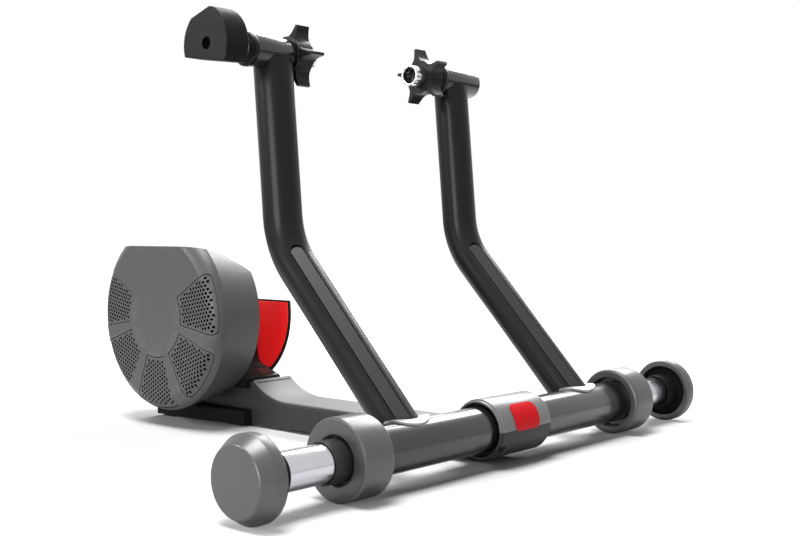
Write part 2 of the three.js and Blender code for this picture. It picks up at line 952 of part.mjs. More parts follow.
function armFoot() {
  const front = arm.deckStart + gap;
  const shape = outline([
    [-footPlate.frontHalf, front],
    [footPlate.frontHalf, front],
    [footPlate.rearHalf, armRear],
    [-footPlate.rearHalf, armRear],
  ]);
  const slab = new THREE.ExtrudeGeometry(shape, {
    depth: footPlate.top - arm.rearRise,
    bevelEnabled: false,
  }).translate(0, 0, arm.rearRise);
  return cut(slab, footPad("front", gap), footPad("rear", gap));
}

// A rubber strip across the foot's underside, let into it.
function footPad(end, clearance) {
  const half = (end === "front" ? footPlate.frontHalf : footPlate.rearHalf) - pad.sideInset;
  const edge = end === "front" ? arm.deckStart + pad.inset : armRear - pad.inset - pad.length;
  return block(
    -half - clearance,
    half + clearance,
    edge - clearance,
    edge + pad.length + clearance,
    -clearance,
    pad.thickness + clearance,
  );
}

piece(collarGroup, "collar_cap", collarCap(), ...finish.greyMoulding);
piece(collarGroup, "collar_bush", collarBush(), ...finish.blackRubber);
piece(collarGroup, "collar_badge", collarBadge(), ...finish.redGloss);
piece(collarGroup, "collar_screw", collarScrew(), ...finish.steel);
piece(base, "arm_body", armBody(), ...finish.darkMoulding);
piece(base, "arm_cover", armCover(), ...finish.satinSilver);
piece(base, "arm_foot", armFoot(), ...finish.blackMoulding);
piece(base, "front_foot_pad", footPad("front", 0), ...finish.blackRubber);
piece(base, "rear_foot_pad", footPad("rear", 0), ...finish.blackRubber);

// Roller unit
const unit = group(base, unitBack, unitHeight);

function unitCarrier() {
  const right = guard.inner - gap;
  const left = -cheek.inner - cheek.thickness;
  const shape = new THREE.Shape();
  shape.moveTo(-carrier.toe, deck);
  shape.lineTo(carrier.rearHalf, deck);
  shape.lineTo(carrier.throat, -carrier.lipDrop);
  shape.lineTo(-carrier.throat, -carrier.lipDrop);
  shape.lineTo(-carrier.throat, deck + carrier.throatRise);
  shape.quadraticCurveTo(
    -carrier.throat,
    deck + carrier.sillRise,
    -carrier.sillStart,
    deck + carrier.sillRise,
  );
  shape.lineTo(-carrier.toe, deck + carrier.toeRise);
  shape.closePath();
  const clearance = rod(-cheek.inner, guard.inner, roller.radius + roller.clearance, fine);
  const web = outline([
    [-carrier.throat, -carrier.lipDrop],
    [-cheek.radius, 0],
    [cheek.radius, 0],
    [carrier.throat, -carrier.lipDrop],
  ]);
  const seat = bearing.radius + gap;
  const saddleBlock = cut(plate(shape, left, right, 6), clearance);
  const leftCheek = join(
    plate(web, left, -cheek.inner),
    rod(left, -cheek.inner, cheek.radius, medium),
  );
  const whole = join(saddleBlock, leftCheek);
  return cut(whole, rod(left - overrun, -cheek.inner + overrun, seat, medium), toePlateBlock(gap));
}

// The light plate let into the toe of the carrier.
function toePlateBlock(clearance) {
  const slope = Math.atan2(
    carrier.sillRise - carrier.toeRise,
    carrier.toe - carrier.sillStart,
  );
  const length = toePlate.length;
  const slab = block(
    toePlate.left - clearance,
    toePlate.right + clearance,
    -clearance,
    length + clearance,
    -toePlate.thickness - clearance,
    clearance > 0 ? overrun : 0,
  );
  const climb = toePlate.inset * Math.tan(slope);
  return slab
    .rotateX(slope)
    .translate(0, toePlate.inset - carrier.toe, deck + carrier.toeRise + climb);
}

function bearingRing(from) {
  return hoop(from, from + bearing.length, shaft.radius + gap, bearing.radius, coarse);
}

function frictionRoller() {
  const half = roller.halfWidth;
  const bore = shaft.radius + gap;
  const rim = roller.radius - roller.rimWall;
  const floor = half - roller.recess;
  return turned(
    [
      [-floor, bore],
      [-floor, rim],
      [-half, rim],
      [-half, roller.radius - roller.edge],
      [-half + roller.edge, roller.radius],
      [half - roller.edge, roller.radius],
      [half, roller.radius - roller.edge],
      [half, rim],
      [floor, rim],
      [floor, bore],
      [-floor, bore],
    ],
    fine,
  );
}

function guardOutline(radius, top, bottom) {
  const topAngle = Math.asin(top / radius);
  const bottomAngle = Math.asin(Math.min(1, -bottom / radius));
  const shape = new THREE.Shape();
  shape.absarc(0, 0, radius, -bottomAngle, topAngle);
  shape.absarc(0, 0, radius, Math.PI - topAngle, Math.PI + bottomAngle);
  shape.closePath();
  return shape;
}

function panelOutline(clearance) {
  const radius = guard.radius - panel.rim + clearance;
  const top = guard.topRise - panel.topDrop + clearance;
  const rear = clearance - panel.rear;
  const shape = new THREE.Shape();
  shape.moveTo(rear, top);
  shape.absarc(0, 0, radius, Math.PI - Math.asin(top / radius), Math.PI + panel.tipAngle);
  const [, tipDrop] = aim(-panel.tipAngle, radius);
  shape.quadraticCurveTo(rear, tipDrop, rear, tipDrop + panel.cornerLength);
  shape.closePath();
  return shape;
}

function guardPlate() {
  const to = guard.inner + guard.thickness;
  const bossEnd = to + guard.bossLength;
  const shape = guardOutline(guard.radius, guard.topRise, deck);
  const pocketFloor = guard.inner + panel.thickness + gap;
  return cut(
    join(plate(shape, guard.inner, to, 16), rod(guard.inner, bossEnd, guard.bossRadius, medium)),
    plate(panelOutline(gap), guard.inner - overrun, pocketFloor, 12),
    rod(guard.inner - overrun, bossEnd - guard.bossFloor, bearing.radius + gap, medium),
  );
}

function guardPanel() {
  return plate(panelOutline(0), guard.inner, guard.inner + panel.thickness, 12);
}

// The drum's outside, or a surface that lies inset within it, as a full turned body.
function drumBody(inset, rimEnd) {
  const faceRadius = drum.faceRadius;
  const round = drum.round - inset;
  const slope = (barrelRadius - drumRimRadius) / (drumFace - drum.round - drum.rim);
  const profile = [[-drumFace + inset, 0]];
  const steps = 6;
  for (let i = 0; i <= steps; i++) {
    const angle = (quarterTurn * i) / steps;
    profile.push([
      -drumFace + drum.round - round * Math.cos(angle),
      faceRadius + round * Math.sin(angle),
    ]);
  }
  const end = drumRimRadius - inset + slope * (-drum.rim - rimEnd);
  profile.push([rimEnd, end], [rimEnd, 0]);
  return turned(profile, fine);
}

// Everything under the drum's flat top, which curves down towards the rim.
function underTop(inset) {
  const reach = barrelRadius + overrun;
  const shape = new THREE.Shape();
  shape.moveTo(-drumFace - overrun, -reach);
  shape.lineTo(-drum.rim + overrun, -reach);
  shape.lineTo(-drum.rim + overrun, drum.rimTop - inset);
  shape.lineTo(-drum.rim, drum.rimTop - inset);
  shape.quadraticCurveTo(
    -(drumFace + drum.rim) / 2,
    (drum.faceTop + drum.rimTop) / 2 + drum.topBulge - inset,
    -drumFace,
    drum.faceTop - inset,
  );
  shape.lineTo(-drumFace - overrun, drum.faceTop - inset);
  shape.closePath();
  return new THREE.ExtrudeGeometry(shape, {
    depth: 2 * reach,
    bevelEnabled: false,
    curveSegments: 8,
  })
    .rotateX(quarterTurn)
    .translate(0, reach, 0);
}

// One fan-shaped window, as a bar along X.
function fan(middle, clearance) {
  const low = ventInner + clearance;
  const high = ventOuter - clearance;
  const side = (radius) => vent.halfAngle - clearance / radius;
  const rounded = (radius) => side(radius) - vent.corner / radius;
  const inner = low + vent.corner;
  const outer = high - vent.corner;
  const at = (angle, radius) => aim(middle + angle, radius);
  const turn = Math.PI - middle;
  const shape = new THREE.Shape();
  shape.moveTo(...at(-rounded(low), low));
  shape.absarc(0, 0, low, turn + rounded(low), turn - rounded(low), true);
  shape.quadraticCurveTo(...at(side(low), low), ...at(side(inner), inner));
  shape.lineTo(...at(side(outer), outer));
  shape.quadraticCurveTo(...at(side(high), high), ...at(rounded(high), high));
  shape.absarc(0, 0, high, turn - rounded(high), turn + rounded(high));
  shape.quadraticCurveTo(...at(-side(high), high), ...at(-side(outer), outer));
  shape.lineTo(...at(-side(inner), inner));
  shape.quadraticCurveTo(...at(-side(low), low), ...at(-rounded(low), low));
  return plate(shape, -drumFace - overrun, drum.round - drumFace, 4);
}

const ventAngle = (index) => -quarterTurn + (index - (vent.count - 1) / 2) * vent.pitch;
const ventNumbers = Array.from({ length: vent.count }, (_, index) => index);

function drumCover() {
  const outside = common(drumBody(0, -drum.rim), underTop(0));
  const inside = common(drumBody(drum.wall, -drum.rim + overrun), underTop(drum.wall));
  return cut(outside, inside, ...ventNumbers.map((index) => fan(ventAngle(index), 0)));
}

function ventInsert(index) {
  const outside = common(drumBody(vent.sink, -drum.rim), underTop(vent.sink));
  const inside = common(drumBody(drum.wall, -drum.rim + overrun), underTop(drum.wall));
  return common(cut(outside, inside), fan(ventAngle(index), vent.line));
}

function drumBackPlate() {
  const right = -drum.rim - gap;
  const bossEnd = -cheek.inner - cheek.thickness - gap;
  const radius = drumRimRadius - drum.wall - gap;
  const disc = rod(plateLeft, right, radius, fine);
  const hub = rod(plateLeft, bossEnd, backPlate.hubRadius, medium);
  const sleeveTube = rod(sleeveEnd, plateLeft + gap, backPlate.sleeveRadius, medium);
  const posts = boardCorners().map(([y, z]) =>
    rod(plateLeft - board.standOff, plateLeft + gap, board.post, coarse / 2).translate(0, y, z),
  );
  const shape = common(disc, underTop(drum.wall + gap));
  const bore = rod(sleeveEnd - overrun, bossEnd + overrun, backPlate.bore, medium);
  return cut(join(shape, hub, sleeveTube, ...posts), bore);
}

// Where the two board posts stand, behind and below the roller's axis.
function boardCorners() {
  const middle = -board.drop - board.height / 2;
  const near = board.rear + board.post * 2;
  return [[near, middle], [board.rear + board.width - board.post * 2, middle]];
}

function circuitBoard() {
  const to = plateLeft - board.standOff - gap;
  return block(
    to - board.thickness,
    to,
    board.rear,
    board.rear + board.width,
    -board.drop - board.height,
    -board.drop,
  );
}

function flywheelDisc() {
  const middle = (flywheelLeft + flywheelRight) / 2;
  const [webLeft, webRight] = [middle - flywheel.web / 2, middle + flywheel.web / 2];
  const rim = flywheel.radius - flywheel.rimWall;
  return turned(
    [
      [flywheelLeft, shaft.radius + gap],
      [flywheelLeft, flywheel.hubRadius],
      [webLeft, flywheel.hubRadius],
      [webLeft, rim],
      [flywheelLeft, rim],
      [flywheelLeft, flywheel.radius],
      [flywheelRight, flywheel.radius],
      [flywheelRight, rim],
      [webRight, rim],
      [webRight, flywheel.hubRadius],
      [flywheelRight, flywheel.hubRadius],
      [flywheelRight, shaft.radius + gap],
      [flywheelLeft, shaft.radius + gap],
    ],
    medium,
  );
}

function statorCore() {
  const bore = backPlate.sleeveRadius + gap;
  const [from, to] = [statorLeft, statorRight];
  return turned(
    [
      [from, bore],
      [from, stator.radius],
      [from + stator.flange, stator.radius],
      [from + stator.flange, stator.coreRadius],
      [to - stator.flange, stator.coreRadius],
      [to - stator.flange, stator.radius],
      [to, stator.radius],
      [to, bore],
      [from, bore],
    ],
    medium,
  );
}

function brakeCoil() {
  const from = statorLeft + stator.flange + gap;
  const to = statorRight - stator.flange - gap;
  return hoop(from, to, stator.coreRadius + gap, stator.coilRadius, medium);
}

piece(unit, "unit_carrier", unitCarrier(), ...finish.blackMoulding);
piece(unit, "toe_plate", toePlateBlock(0), ...finish.satinSilver);
const leftBearing = -cheek.inner - (cheek.thickness + bearing.length) / 2;
piece(unit, "left_bearing", bearingRing(leftBearing), ...finish.steel);
const bossSeat = guard.inner + guard.thickness + guard.bossLength - guard.bossFloor - gap;
piece(unit, "right_bearing", bearingRing(bossSeat - bearing.length), ...finish.steel);
piece(unit, "guard_plate", guardPlate(), ...finish.darkMoulding);
piece(unit, "guard_panel", guardPanel(), ...finish.redGloss);
piece(unit, "drum_cover", drumCover(), ...finish.greyMoulding);
for (const index of ventNumbers) {
  piece(unit, `vent_grille_${index + 1}`, ventInsert(index), ...finish.greyMoulding);
}
piece(unit, "drum_back_plate", drumBackPlate(), ...finish.blackMoulding);
piece(unit, "circuit_board", circuitBoard(), ...finish.boardGreen);
piece(unit, "stator_core", statorCore(), ...finish.castIron);
piece(unit, "brake_coil", brakeCoil(), ...finish.copper);

// What turns with the roller
piece(unit, "roller", frictionRoller(), ...finish.steel);
const shaftLeft = -drumFace + shaft.faceClearance;
const shaftRight = bossSeat - gap;
piece(unit, "roller_shaft", rod(shaftLeft, shaftRight, shaft.radius, coarse), ...finish.steel);
piece(unit, "flywheel", flywheelDisc(), ...finish.castIron);

export default trainer;
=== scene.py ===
"""Dresses a wheel-on bicycle trainer: finely modelled pieces and finishes round its frame."""

import math

import bpy
from bpy.props import FloatProperty, FloatVectorProperty, IntProperty, PointerProperty
from mathutils import Matrix, Vector


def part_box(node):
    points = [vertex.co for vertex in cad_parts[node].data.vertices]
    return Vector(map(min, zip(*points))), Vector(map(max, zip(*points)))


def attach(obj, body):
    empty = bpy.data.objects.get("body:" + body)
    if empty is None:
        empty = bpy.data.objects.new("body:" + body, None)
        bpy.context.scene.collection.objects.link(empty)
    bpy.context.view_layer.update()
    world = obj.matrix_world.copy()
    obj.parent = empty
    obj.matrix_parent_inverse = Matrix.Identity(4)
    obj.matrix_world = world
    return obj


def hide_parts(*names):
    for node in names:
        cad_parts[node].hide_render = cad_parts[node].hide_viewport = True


bl_info = {
    "name": "Bicycle Trainer Dresser",
    "version": (1, 0, 0),
    "blender": (4, 5, 0),
    "location": "3D View > Sidebar > Trainer",
    "description": "Models a wheel-on bicycle trainer's visible pieces and their finishes",
    "category": "Object",
}

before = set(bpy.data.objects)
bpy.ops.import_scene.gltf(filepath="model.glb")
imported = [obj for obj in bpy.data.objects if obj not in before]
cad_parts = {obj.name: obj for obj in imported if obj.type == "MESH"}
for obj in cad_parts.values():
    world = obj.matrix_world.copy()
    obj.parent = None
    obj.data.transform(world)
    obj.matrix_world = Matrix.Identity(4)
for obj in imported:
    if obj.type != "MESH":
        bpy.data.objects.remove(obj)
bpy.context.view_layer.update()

MM = 0.001
TURN = 2 * math.pi
QUARTER = math.pi / 2
SIDES = (("left", -1), ("right", 1))


def middle(node):
    """The middle of a node's box."""
    low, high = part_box(node)
    return (low + high) / 2


# Places on the axes that the pieces are turned about

TUBE = middle("cross_tube")
CLAMP = middle("right_spindle")
ROLLER = middle("roller")

# Heights and the drum's outside, in millimetres

FLOOR = TUBE.z / MM  # from the cross tube's axis down to the floor
ROLLER_HEIGHT = ROLLER.z / MM
ARM_DECK = 44.7  # top of the arm under the roller unit

DRUM_RIM = 36.0
DRUM_FACE = 112.5
FACE_RADIUS = 98.0
DRUM_ROUND = 16.0
FILLET_LEAN = math.radians(15)
FILLET = DRUM_ROUND * math.sqrt(2) / 2 / math.sin(math.radians(45) - FILLET_LEAN)
FILLET_X = -DRUM_FACE + FILLET * math.cos(FILLET_LEAN)
FILLET_OUT = FACE_RADIUS - FILLET * math.sin(FILLET_LEAN)


# Sizes and colours that a user would change


def length(name, description, default):
    """A length in metres that shows in the scene's units."""
    return FloatProperty(
        name=name, description=description, default=default, min=0, unit="LENGTH", precision=4
    )


def paint(name, description, level):
    """A linear colour from a level or from three."""
    colour = (level,) * 3 if isinstance(level, float) else level
    return FloatVectorProperty(
        name=name, description=description, default=colour, size=3, min=0, max=1, subtype="COLOR"
    )


class TrainerSizes(bpy.types.PropertyGroup):
    """Lengths of the trainer's visible pieces."""

    tube_radius: length("Cross tube radius", "Outside radius of the cross tube", 23 * MM)
    leg_radius: length("Leg radius", "Outside radius of the sliding legs", 17.4 * MM)
    upright_radius: length("Upright radius", "Outside radius of the bent uprights", 20.3 * MM)
    sleeve_radius: length("Sleeve radius", "Outside radius of the clamp sleeves", 16.6 * MM)
    cup_radius: length("Cup radius", "Outside radius of the cups that hold the axle", 12.4 * MM)
    knob_radius: length("Knob radius", "From a knob's middle to its lobes' tips", 33.3 * MM)
    edge: length("Edge rounding", "Radius of the rounded edges of moulded pieces", 0.9 * MM)
    hole_radius: length("Vent hole radius", "Radius of each hole in the vents", 1.75 * MM)
    hole_pitch: length("Vent hole pitch", "Distance from each vent hole to the next", 5.1 * MM)
    facets: IntProperty(
        name="Facets", description="Steps round a turned piece", default=96, min=24, max=192
    )


class TrainerColours(bpy.types.PropertyGroup):
    """Linear colours of the finishes."""

    tube_paint: paint("Tube paint", "Gloss charcoal of the cross tube and sleeves", 0.012)
    upright_paint: paint("Upright paint", "Near-black paint of the uprights", 0.007)
    trim: paint("Trim", "Strip along the uprights", 0.022)
    ring: paint("Rings", "Grey of the end rings and foot caps", 0.1)
    moulding: paint("Drum", "Matte grey of the drum", 0.075)
    collar: paint("Collar", "Satin grey of the collar round the cross tube", 0.15)
    arm: paint("Arm", "Dark grey of the arm's sides", 0.028)
    cover: paint("Arm cover", "Light satin silver of the arm's top", 0.16)
    foot: paint("Foot", "Black of the foot and the unit's carrier", 0.006)
    knob: paint("Knobs", "Black of the knobs and washers", 0.004)
    handle: paint("Handle", "Dark grey of the clamp's handle", 0.002)
    panel: paint("Panel", "Red of the guard's panel", (0.9, 0.016, 0.018))
    badge: paint("Badge", "Red of the collar's badge", (0.6, 0.003, 0.008))
    rubber: paint("Rubber", "Black of the pads and the bush", 0.012)


class TrainerStage(bpy.types.PropertyGroup):
    """Camera and light."""

    focal: FloatProperty(
        name="Focal length", description="Camera's focal length", default=50.45, unit="CAMERA"
    )
    heading: FloatProperty(
        name="Heading", description="Camera's turn about the vertical",
        default=math.radians(-48.539), subtype="ANGLE",
    )
    tilt: FloatProperty(
        name="Tilt", description="How far the camera looks down",
        default=math.radians(1.823), subtype="ANGLE",
    )
    place: FloatVectorProperty(
        name="Camera", description="Where the camera stands",
        default=(-0.9282, -0.9351, 0.2346), size=3, subtype="TRANSLATION",
    )
    fill: FloatProperty(
        name="Fill", description="Light from all round on the object", default=0.07, min=0, max=2
    )
    key: FloatProperty(name="Key", description="Power of the softboxes", default=30, unit="POWER")


# Nodes

WHITE = (1, 1, 1, 1)


def assign(slot, value):
    """Gives a socket a value or a link."""
    if isinstance(value, Link):
        value.tree.links.new(value.socket, slot)
    else:
        slot.default_value = value


def add_node(tree, kind, settings=(), sockets=(), out=0):
    """Adds a shader node with its settings, then the values or links of its sockets."""
    node = tree.nodes.new("ShaderNode" + kind)
    for key, value in dict(settings).items():
        setattr(node, key, value)
    for key, value in dict(sockets).items():
        assign(node.inputs[key], value)
    return Link(tree, node.outputs[out]) if node.outputs else None


class Link:
    """A shader socket that takes part in sums."""

    def __init__(self, tree, socket):
        self.tree = tree
        self.socket = socket

    def maths(self, operation, *values):
        return add_node(self.tree, "Math", {"operation": operation}, enumerate(values))

    def __add__(self, other):
        return self.maths("ADD", self, other)

    __radd__ = __add__

    def __sub__(self, other):
        return self.maths("SUBTRACT", self, other)

    def __rsub__(self, other):
        return self.maths("SUBTRACT", other, self)

    def __mul__(self, other):
        return self.maths("MULTIPLY", self, other)

    __rmul__ = __mul__

    def __gt__(self, other):
        return self.maths("GREATER_THAN", self, other)

    def apply(self, operation, *others):
        """Any other operation on this value."""
        return self.maths(operation, self, *others)

    def ramp(self, low, high):
        """0 below low, 1 above high and even between them."""
        sockets = {"Value": self, "From Min": low, "From Max": high}
        return add_node(self.tree, "MapRange", {}, sockets, "Result")


class Finish:
    """A material under construction, built round one Principled shader."""

    def __init__(self, name, roughness, metallic=0.0, specular=0.5, **even):
        self.material = bpy.data.materials.new(name)
        self.material.use_nodes = True
        self.tree = self.material.node_tree
        self.tree.nodes.clear()
        self.surface = self.add("BsdfPrincipled")
        self.add("OutputMaterial", {"name": "end"}, {"Surface": self.surface})
        self.values = {}
        self.set("Roughness", roughness)
        self.set("Metallic", metallic)
        self.set("Specular IOR Level", specular)
        for socket, value in even.items():
            self.set(socket.replace("_", " ").title(), value)
        self.place = self.add("TexCoord", out="Object")

    def add(self, *node, **out):
        return add_node(self.tree, *node, **out)

    def set(self, socket, value):
        self.values[socket] = value
        assign(self.surface.socket.node.inputs[socket], value)

    def noise(self, scale, detail=2.0, stretch=None, roughness=0.5):
        """Noise on the piece's own coordinates, longer or finer along some axes."""
        vector = self.place
        if stretch:
            vector = self.add("Mapping", {}, {"Vector": vector, "Scale": stretch})
        sockets = {"Vector": vector, "Scale": scale, "Detail": detail, "Roughness": roughness}
        return self.add("TexNoise", {}, sockets, "Fac")

    def blend(self, share, below, above):
        """Mixes two colours by a share."""
        return self.add("Mix", {"data_type": "RGBA"}, {0: share, 6: below, 7: above}, 2)

    def tint(self, colour, dark, light, share):
        """A colour that runs from darker to lighter with a share."""
        low = [channel * dark for channel in colour] + [1]
        high = [min(1, channel * light) for channel in colour] + [1]
        return self.blend(share, low, high)

    def bump(self, height, depth):
        sockets = {"Height": height, "Distance": depth, "Strength": 1.0}
        self.set("Normal", self.add("Bump", {}, sockets, "Normal"))

    def spot(self, axis):
        """Where a point lies along an axis parallel to X, and how far from it."""
        x, y, z = (self.add("SeparateXYZ", {}, {0: self.place}, out) for out in "XYZ")
        back, up = y - axis.y, z - axis.z
        return x, (back * back + up * up).apply("SQRT")

    def rub(self, base, colour, gain, patches, share):
        """Sets the colour, lighter where patches of outside edges are rubbed."""
        edges = self.add("NewGeometry", out="Pointiness").ramp(0.53, 0.62)
        light = [min(1, channel * gain + 0.03) for channel in colour] + [1]
        self.set("Base Color", self.blend(edges * patches * share, base, light))


def moulded(name, colour, roughness, grain=0.5, wear=0.35, **even):
    """Moulded plastic with a spark-eroded grain, faint flow marks and rubbed edges."""
    look = Finish(name, roughness, **even)
    cloud = look.noise(9, 3)
    grit = look.noise(1500, 2)
    base = look.tint(colour, 0.96, 1.04, cloud * 0.3 + grit * 0.7)
    look.rub(base, colour, 1.5, look.noise(160, 4).ramp(0.35, 0.65), wear)
    look.set("Roughness", cloud * 0.03 + grit * 0.03 + (roughness - 0.03))
    look.bump(grit * 0.8 + look.noise(700, 2) * 0.2, grain * 0.05 * MM)
    return look


def vented(name, colour, roughness):
    """The drum's moulding, with painted shade: black within the holes behind its rounded face."""
    look = moulded(name, colour, roughness, 0.06, metallic=0.1, specular=0.35)
    x, out = look.spot(ROLLER)
    beyond = (out - FILLET_OUT * MM).apply("MAXIMUM", 0.0)
    across = x - FILLET_X * MM
    flat = x + DRUM_FACE * MM
    curved = FILLET * MM - (across * across + beyond * beyond).apply("SQRT")
    depth = flat.apply("MINIMUM", curved)
    # Painted shade: deeper than about a millimetre under the outside, in the holes' walls and
    # behind the grille, the colour turns black
    shade = depth.ramp(0.75 * MM, 1.15 * MM)
    black = (0.002, 0.002, 0.002, 1)
    look.set("Base Color", look.blend(shade, look.values["Base Color"], black))
    return look


def painted(name, colour, roughness, coat, **even):
    """Powder-coated metal: a soft ripple, fine dust in the coat and rubbed edges."""
    look = Finish(name, roughness, coat_weight=coat, coat_roughness=0.06, **even)
    cloud = look.noise(14, 3)
    ripple = look.noise(330, 2)
    base = look.tint(colour, 0.9, 1.1, cloud)
    look.rub(base, colour, 1.8, look.noise(200, 4).ramp(0.45, 0.6), 0.3)
    look.set("Roughness", ripple * 0.04 + cloud * 0.05 + (roughness - 0.045))
    look.bump(ripple, 0.0006 * MM)
    return look


def rubbery(name, colour, roughness):
    """Rubber with a dull bloom and fine pores."""
    look = Finish(name, roughness, specular=0.3)
    bloom = look.noise(22, 4)
    pores = look.noise(1900, 2)
    look.set("Base Color", look.tint(colour, 0.85, 1.3, bloom * 0.6 + pores * 0.4))
    look.set("Roughness", bloom * 0.1 + (roughness - 0.05))
    look.bump(pores, 0.03 * MM)
    return look


def metal(name, colour, roughness, marks, depth=0.004, metallic=1.0, **even):
    """Bare metal whose fine marks run across the given stretch."""
    look = Finish(name, roughness, metallic, **even)
    lines = look.noise(60, 3, marks, 0.7)
    cloud = look.noise(30, 3)
    look.set("Base Color", look.tint(colour, 0.9, 1.06, lines * 0.5 + cloud * 0.5))
    look.set("Roughness", lines * 0.1 + cloud * 0.06 + (roughness - 0.08))
    look.bump(lines, depth * MM)
    return look


def cupped(name, colour, roughness):
    """Chrome, with painted shade: dark inside the cup's recess, where shade falls."""
    look = metal(name, colour, roughness, (3, 1, 1), 0.0003)
    # Painted shade: nearer the axis than about 9.2 mm, inside the cup's recess, the chrome turns
    # dark
    shade = look.spot(CLAMP)[1].ramp(9.2 * MM, 9.5 * MM)
    painted_hollow_shade = (0.02, 0.02, 0.022, 1)
    look.set("Base Color", look.blend(shade, painted_hollow_shade, look.values["Base Color"]))
    return look


def cast(name, colour, roughness, metallic):
    """Rough casting with pits and a dull skin."""
    look = Finish(name, roughness, metallic)
    cloud = look.noise(26, 4)
    pits = look.noise(700, 3)
    look.set("Base Color", look.tint(colour, 0.8, 1.2, cloud * 0.6 + pits * 0.4))
    look.set("Roughness", cloud * 0.12 + (roughness - 0.06))
    look.bump(pits, 0.06 * MM)
    return look


def wound(name, colour):
    """Enamelled wire, wound round the X axis in close turns."""
    look = Finish(name, 0.35, 0.85)
    settings = {"wave_type": "BANDS", "bands_direction": "X"}
    sockets = {"Vector": look.place, "Scale": 260.0, "Distortion": 0.4}
    turns = look.add("TexWave", settings, sockets, "Fac")
    look.set("Base Color", look.tint(colour, 0.45, 1.15, turns))
    look.bump(turns, 0.25 * MM)
    return look


def laminate(name, colour):
    """A circuit board's lacquer over fine copper tracks."""
    look = Finish(name, 0.4, coat_weight=0.4)
    upright = look.add("Mapping", {}, {"Vector": look.place, "Rotation": (0, QUARTER, 0)})
    sockets = {"Vector": upright, "Scale": 160.0, "Mortar Size": 0.03}
    tracks = look.add("TexBrick", {"offset": 0.5}, sockets, "Fac")
    base = look.tint(colour, 0.8, 1.1, look.noise(60, 2))
    look.set("Base Color", look.blend(tracks * 0.5, base, (0.12, 0.3, 0.1, 1)))
    look.bump(tracks, 0.03 * MM)
    return look


finishes = {}


def make_finishes(colours):
    """Every finish of the trainer, by name."""
    finishes.update(
        tube_paint=painted(
            "gloss_charcoal_paint", colours.tube_paint, 0.24, 0.35, specular=0.5
        ),
        upright_paint=painted(
            "near_black_paint", colours.upright_paint, 0.34, 0.06, specular=0.16
        ),
        trim=moulded("dark_trim", colours.trim, 0.36, specular=0.3),
        ring=moulded("grey_ring_moulding", colours.ring, 0.34, 0.1, metallic=0.5),
        drum=moulded(
            "matte_grey_moulding", colours.moulding, 0.4, 0.06, metallic=0.1, specular=0.35
        ),
        vent=vented("matte_grey_vents", colours.moulding, 0.4),
        arm=moulded("dark_arm_casting", colours.arm, 0.5, 0.7, specular=0.25),
        cover=metal(
            "satin_silver_cover", colours.cover, 0.55, (1, 22, 22),
            metallic=0.0, specular=0.25,
        ),
        silver=metal(
            "brushed_silver", (0.33, 0.33, 0.34), 0.4, (22, 1, 22), metallic=0.6
        ),
        collar=moulded("satin_grey_collar", colours.collar, 0.36, 0.1, metallic=0.25),
        foot=moulded("black_foot_moulding", colours.foot, 0.65, specular=0.1),
        knob=moulded("black_knob_moulding", colours.knob, 0.36, 0.2, specular=0.18),
        handle=moulded(
            "dark_handle_moulding", colours.handle, 0.46, 0.1,
            specular=0.15, coat_weight=0.05, coat_roughness=0.3,
        ),
        # The panel glows faintly: painted light, brightening the red where the drum shades it from
        # the lamps
        panel=moulded(
            "gloss_red_panel", colours.panel, 0.35, 0.1, 0.1,
            emission_color=(0.8, 0.01, 0.01, 1), emission_strength=0.26,
        ),
        badge=moulded("gloss_red_badge", colours.badge, 0.35, 0.1, 0.1, specular=0.1),
        rubber=rubbery("black_rubber", colours.rubber, 0.7),
        chrome=metal("chrome_plate", (0.56, 0.57, 0.6), 0.16, (3, 1, 1), 0.0005),
        cup=cupped("chrome_cup", (0.7, 0.71, 0.73), 0.2),
        steel=metal("turned_steel", (0.42, 0.43, 0.45), 0.3, (60, 1, 1)),
        iron=cast("machined_cast_iron", (0.12, 0.125, 0.13), 0.5, 0.8),
        copper=wound("copper_winding", (0.5, 0.2, 0.08)),
        board=laminate("green_board", (0.014, 0.11, 0.04)),
    )


# Modelling

WELD = 0.002 * MM  # points nearer than this become one
ROUND = 96  # steps round a plain cylinder
BORE = 10.3  # bore of what sits on the clamps' shafts, in millimetres
GAP = 0.3  # room between pieces that are cut to each other, in millimetres


def chosen(*pieces):
    """Selects only these pieces and makes the first one active."""
    bpy.ops.object.select_all(action="DESELECT")
    for piece in pieces:
        piece.select_set(True)
    bpy.context.view_layer.objects.active = pieces[0]


def added(operator, name="tool", **settings):
    """Adds a primitive."""
    bpy.ops.object.select_all(action="DESELECT")
    operator(**settings)
    piece = bpy.context.object
    piece.name = piece.data.name = name
    bpy.ops.object.transform_apply(location=True, rotation=True, scale=True)
    return piece


def block(centre, size, rotation=(0, 0, 0), name="block"):
    """A box."""
    return added(
        bpy.ops.mesh.primitive_cube_add, name,
        size=1, location=centre, scale=size, rotation=rotation,
    )


def draw(name, places):
    """Starts a piece at one place, in edit mode, and draws a line through the others."""
    piece = added(bpy.ops.mesh.primitive_plane_add, name, size=MM, location=places[0])
    bpy.ops.object.mode_set(mode="EDIT")
    bpy.ops.mesh.select_all(action="SELECT")
    bpy.ops.mesh.merge(type="CENTER")
    for near, far in zip(places, places[1:]):
        bpy.ops.mesh.extrude_vertices_move(TRANSFORM_OT_translate={"value": far - near})
    bpy.ops.mesh.select_all(action="SELECT")
    return piece


def spun(steps, angle, centre):
    """Spins what is selected about an axis along X, counterclockwise seen from its tip."""
    bpy.ops.mesh.spin(steps=steps, angle=-angle, center=centre, axis=(1, 0, 0))


def extruded(reach):
    """Extrudes what is selected."""
    bpy.ops.mesh.extrude_region_move(TRANSFORM_OT_translate={"value": reach})


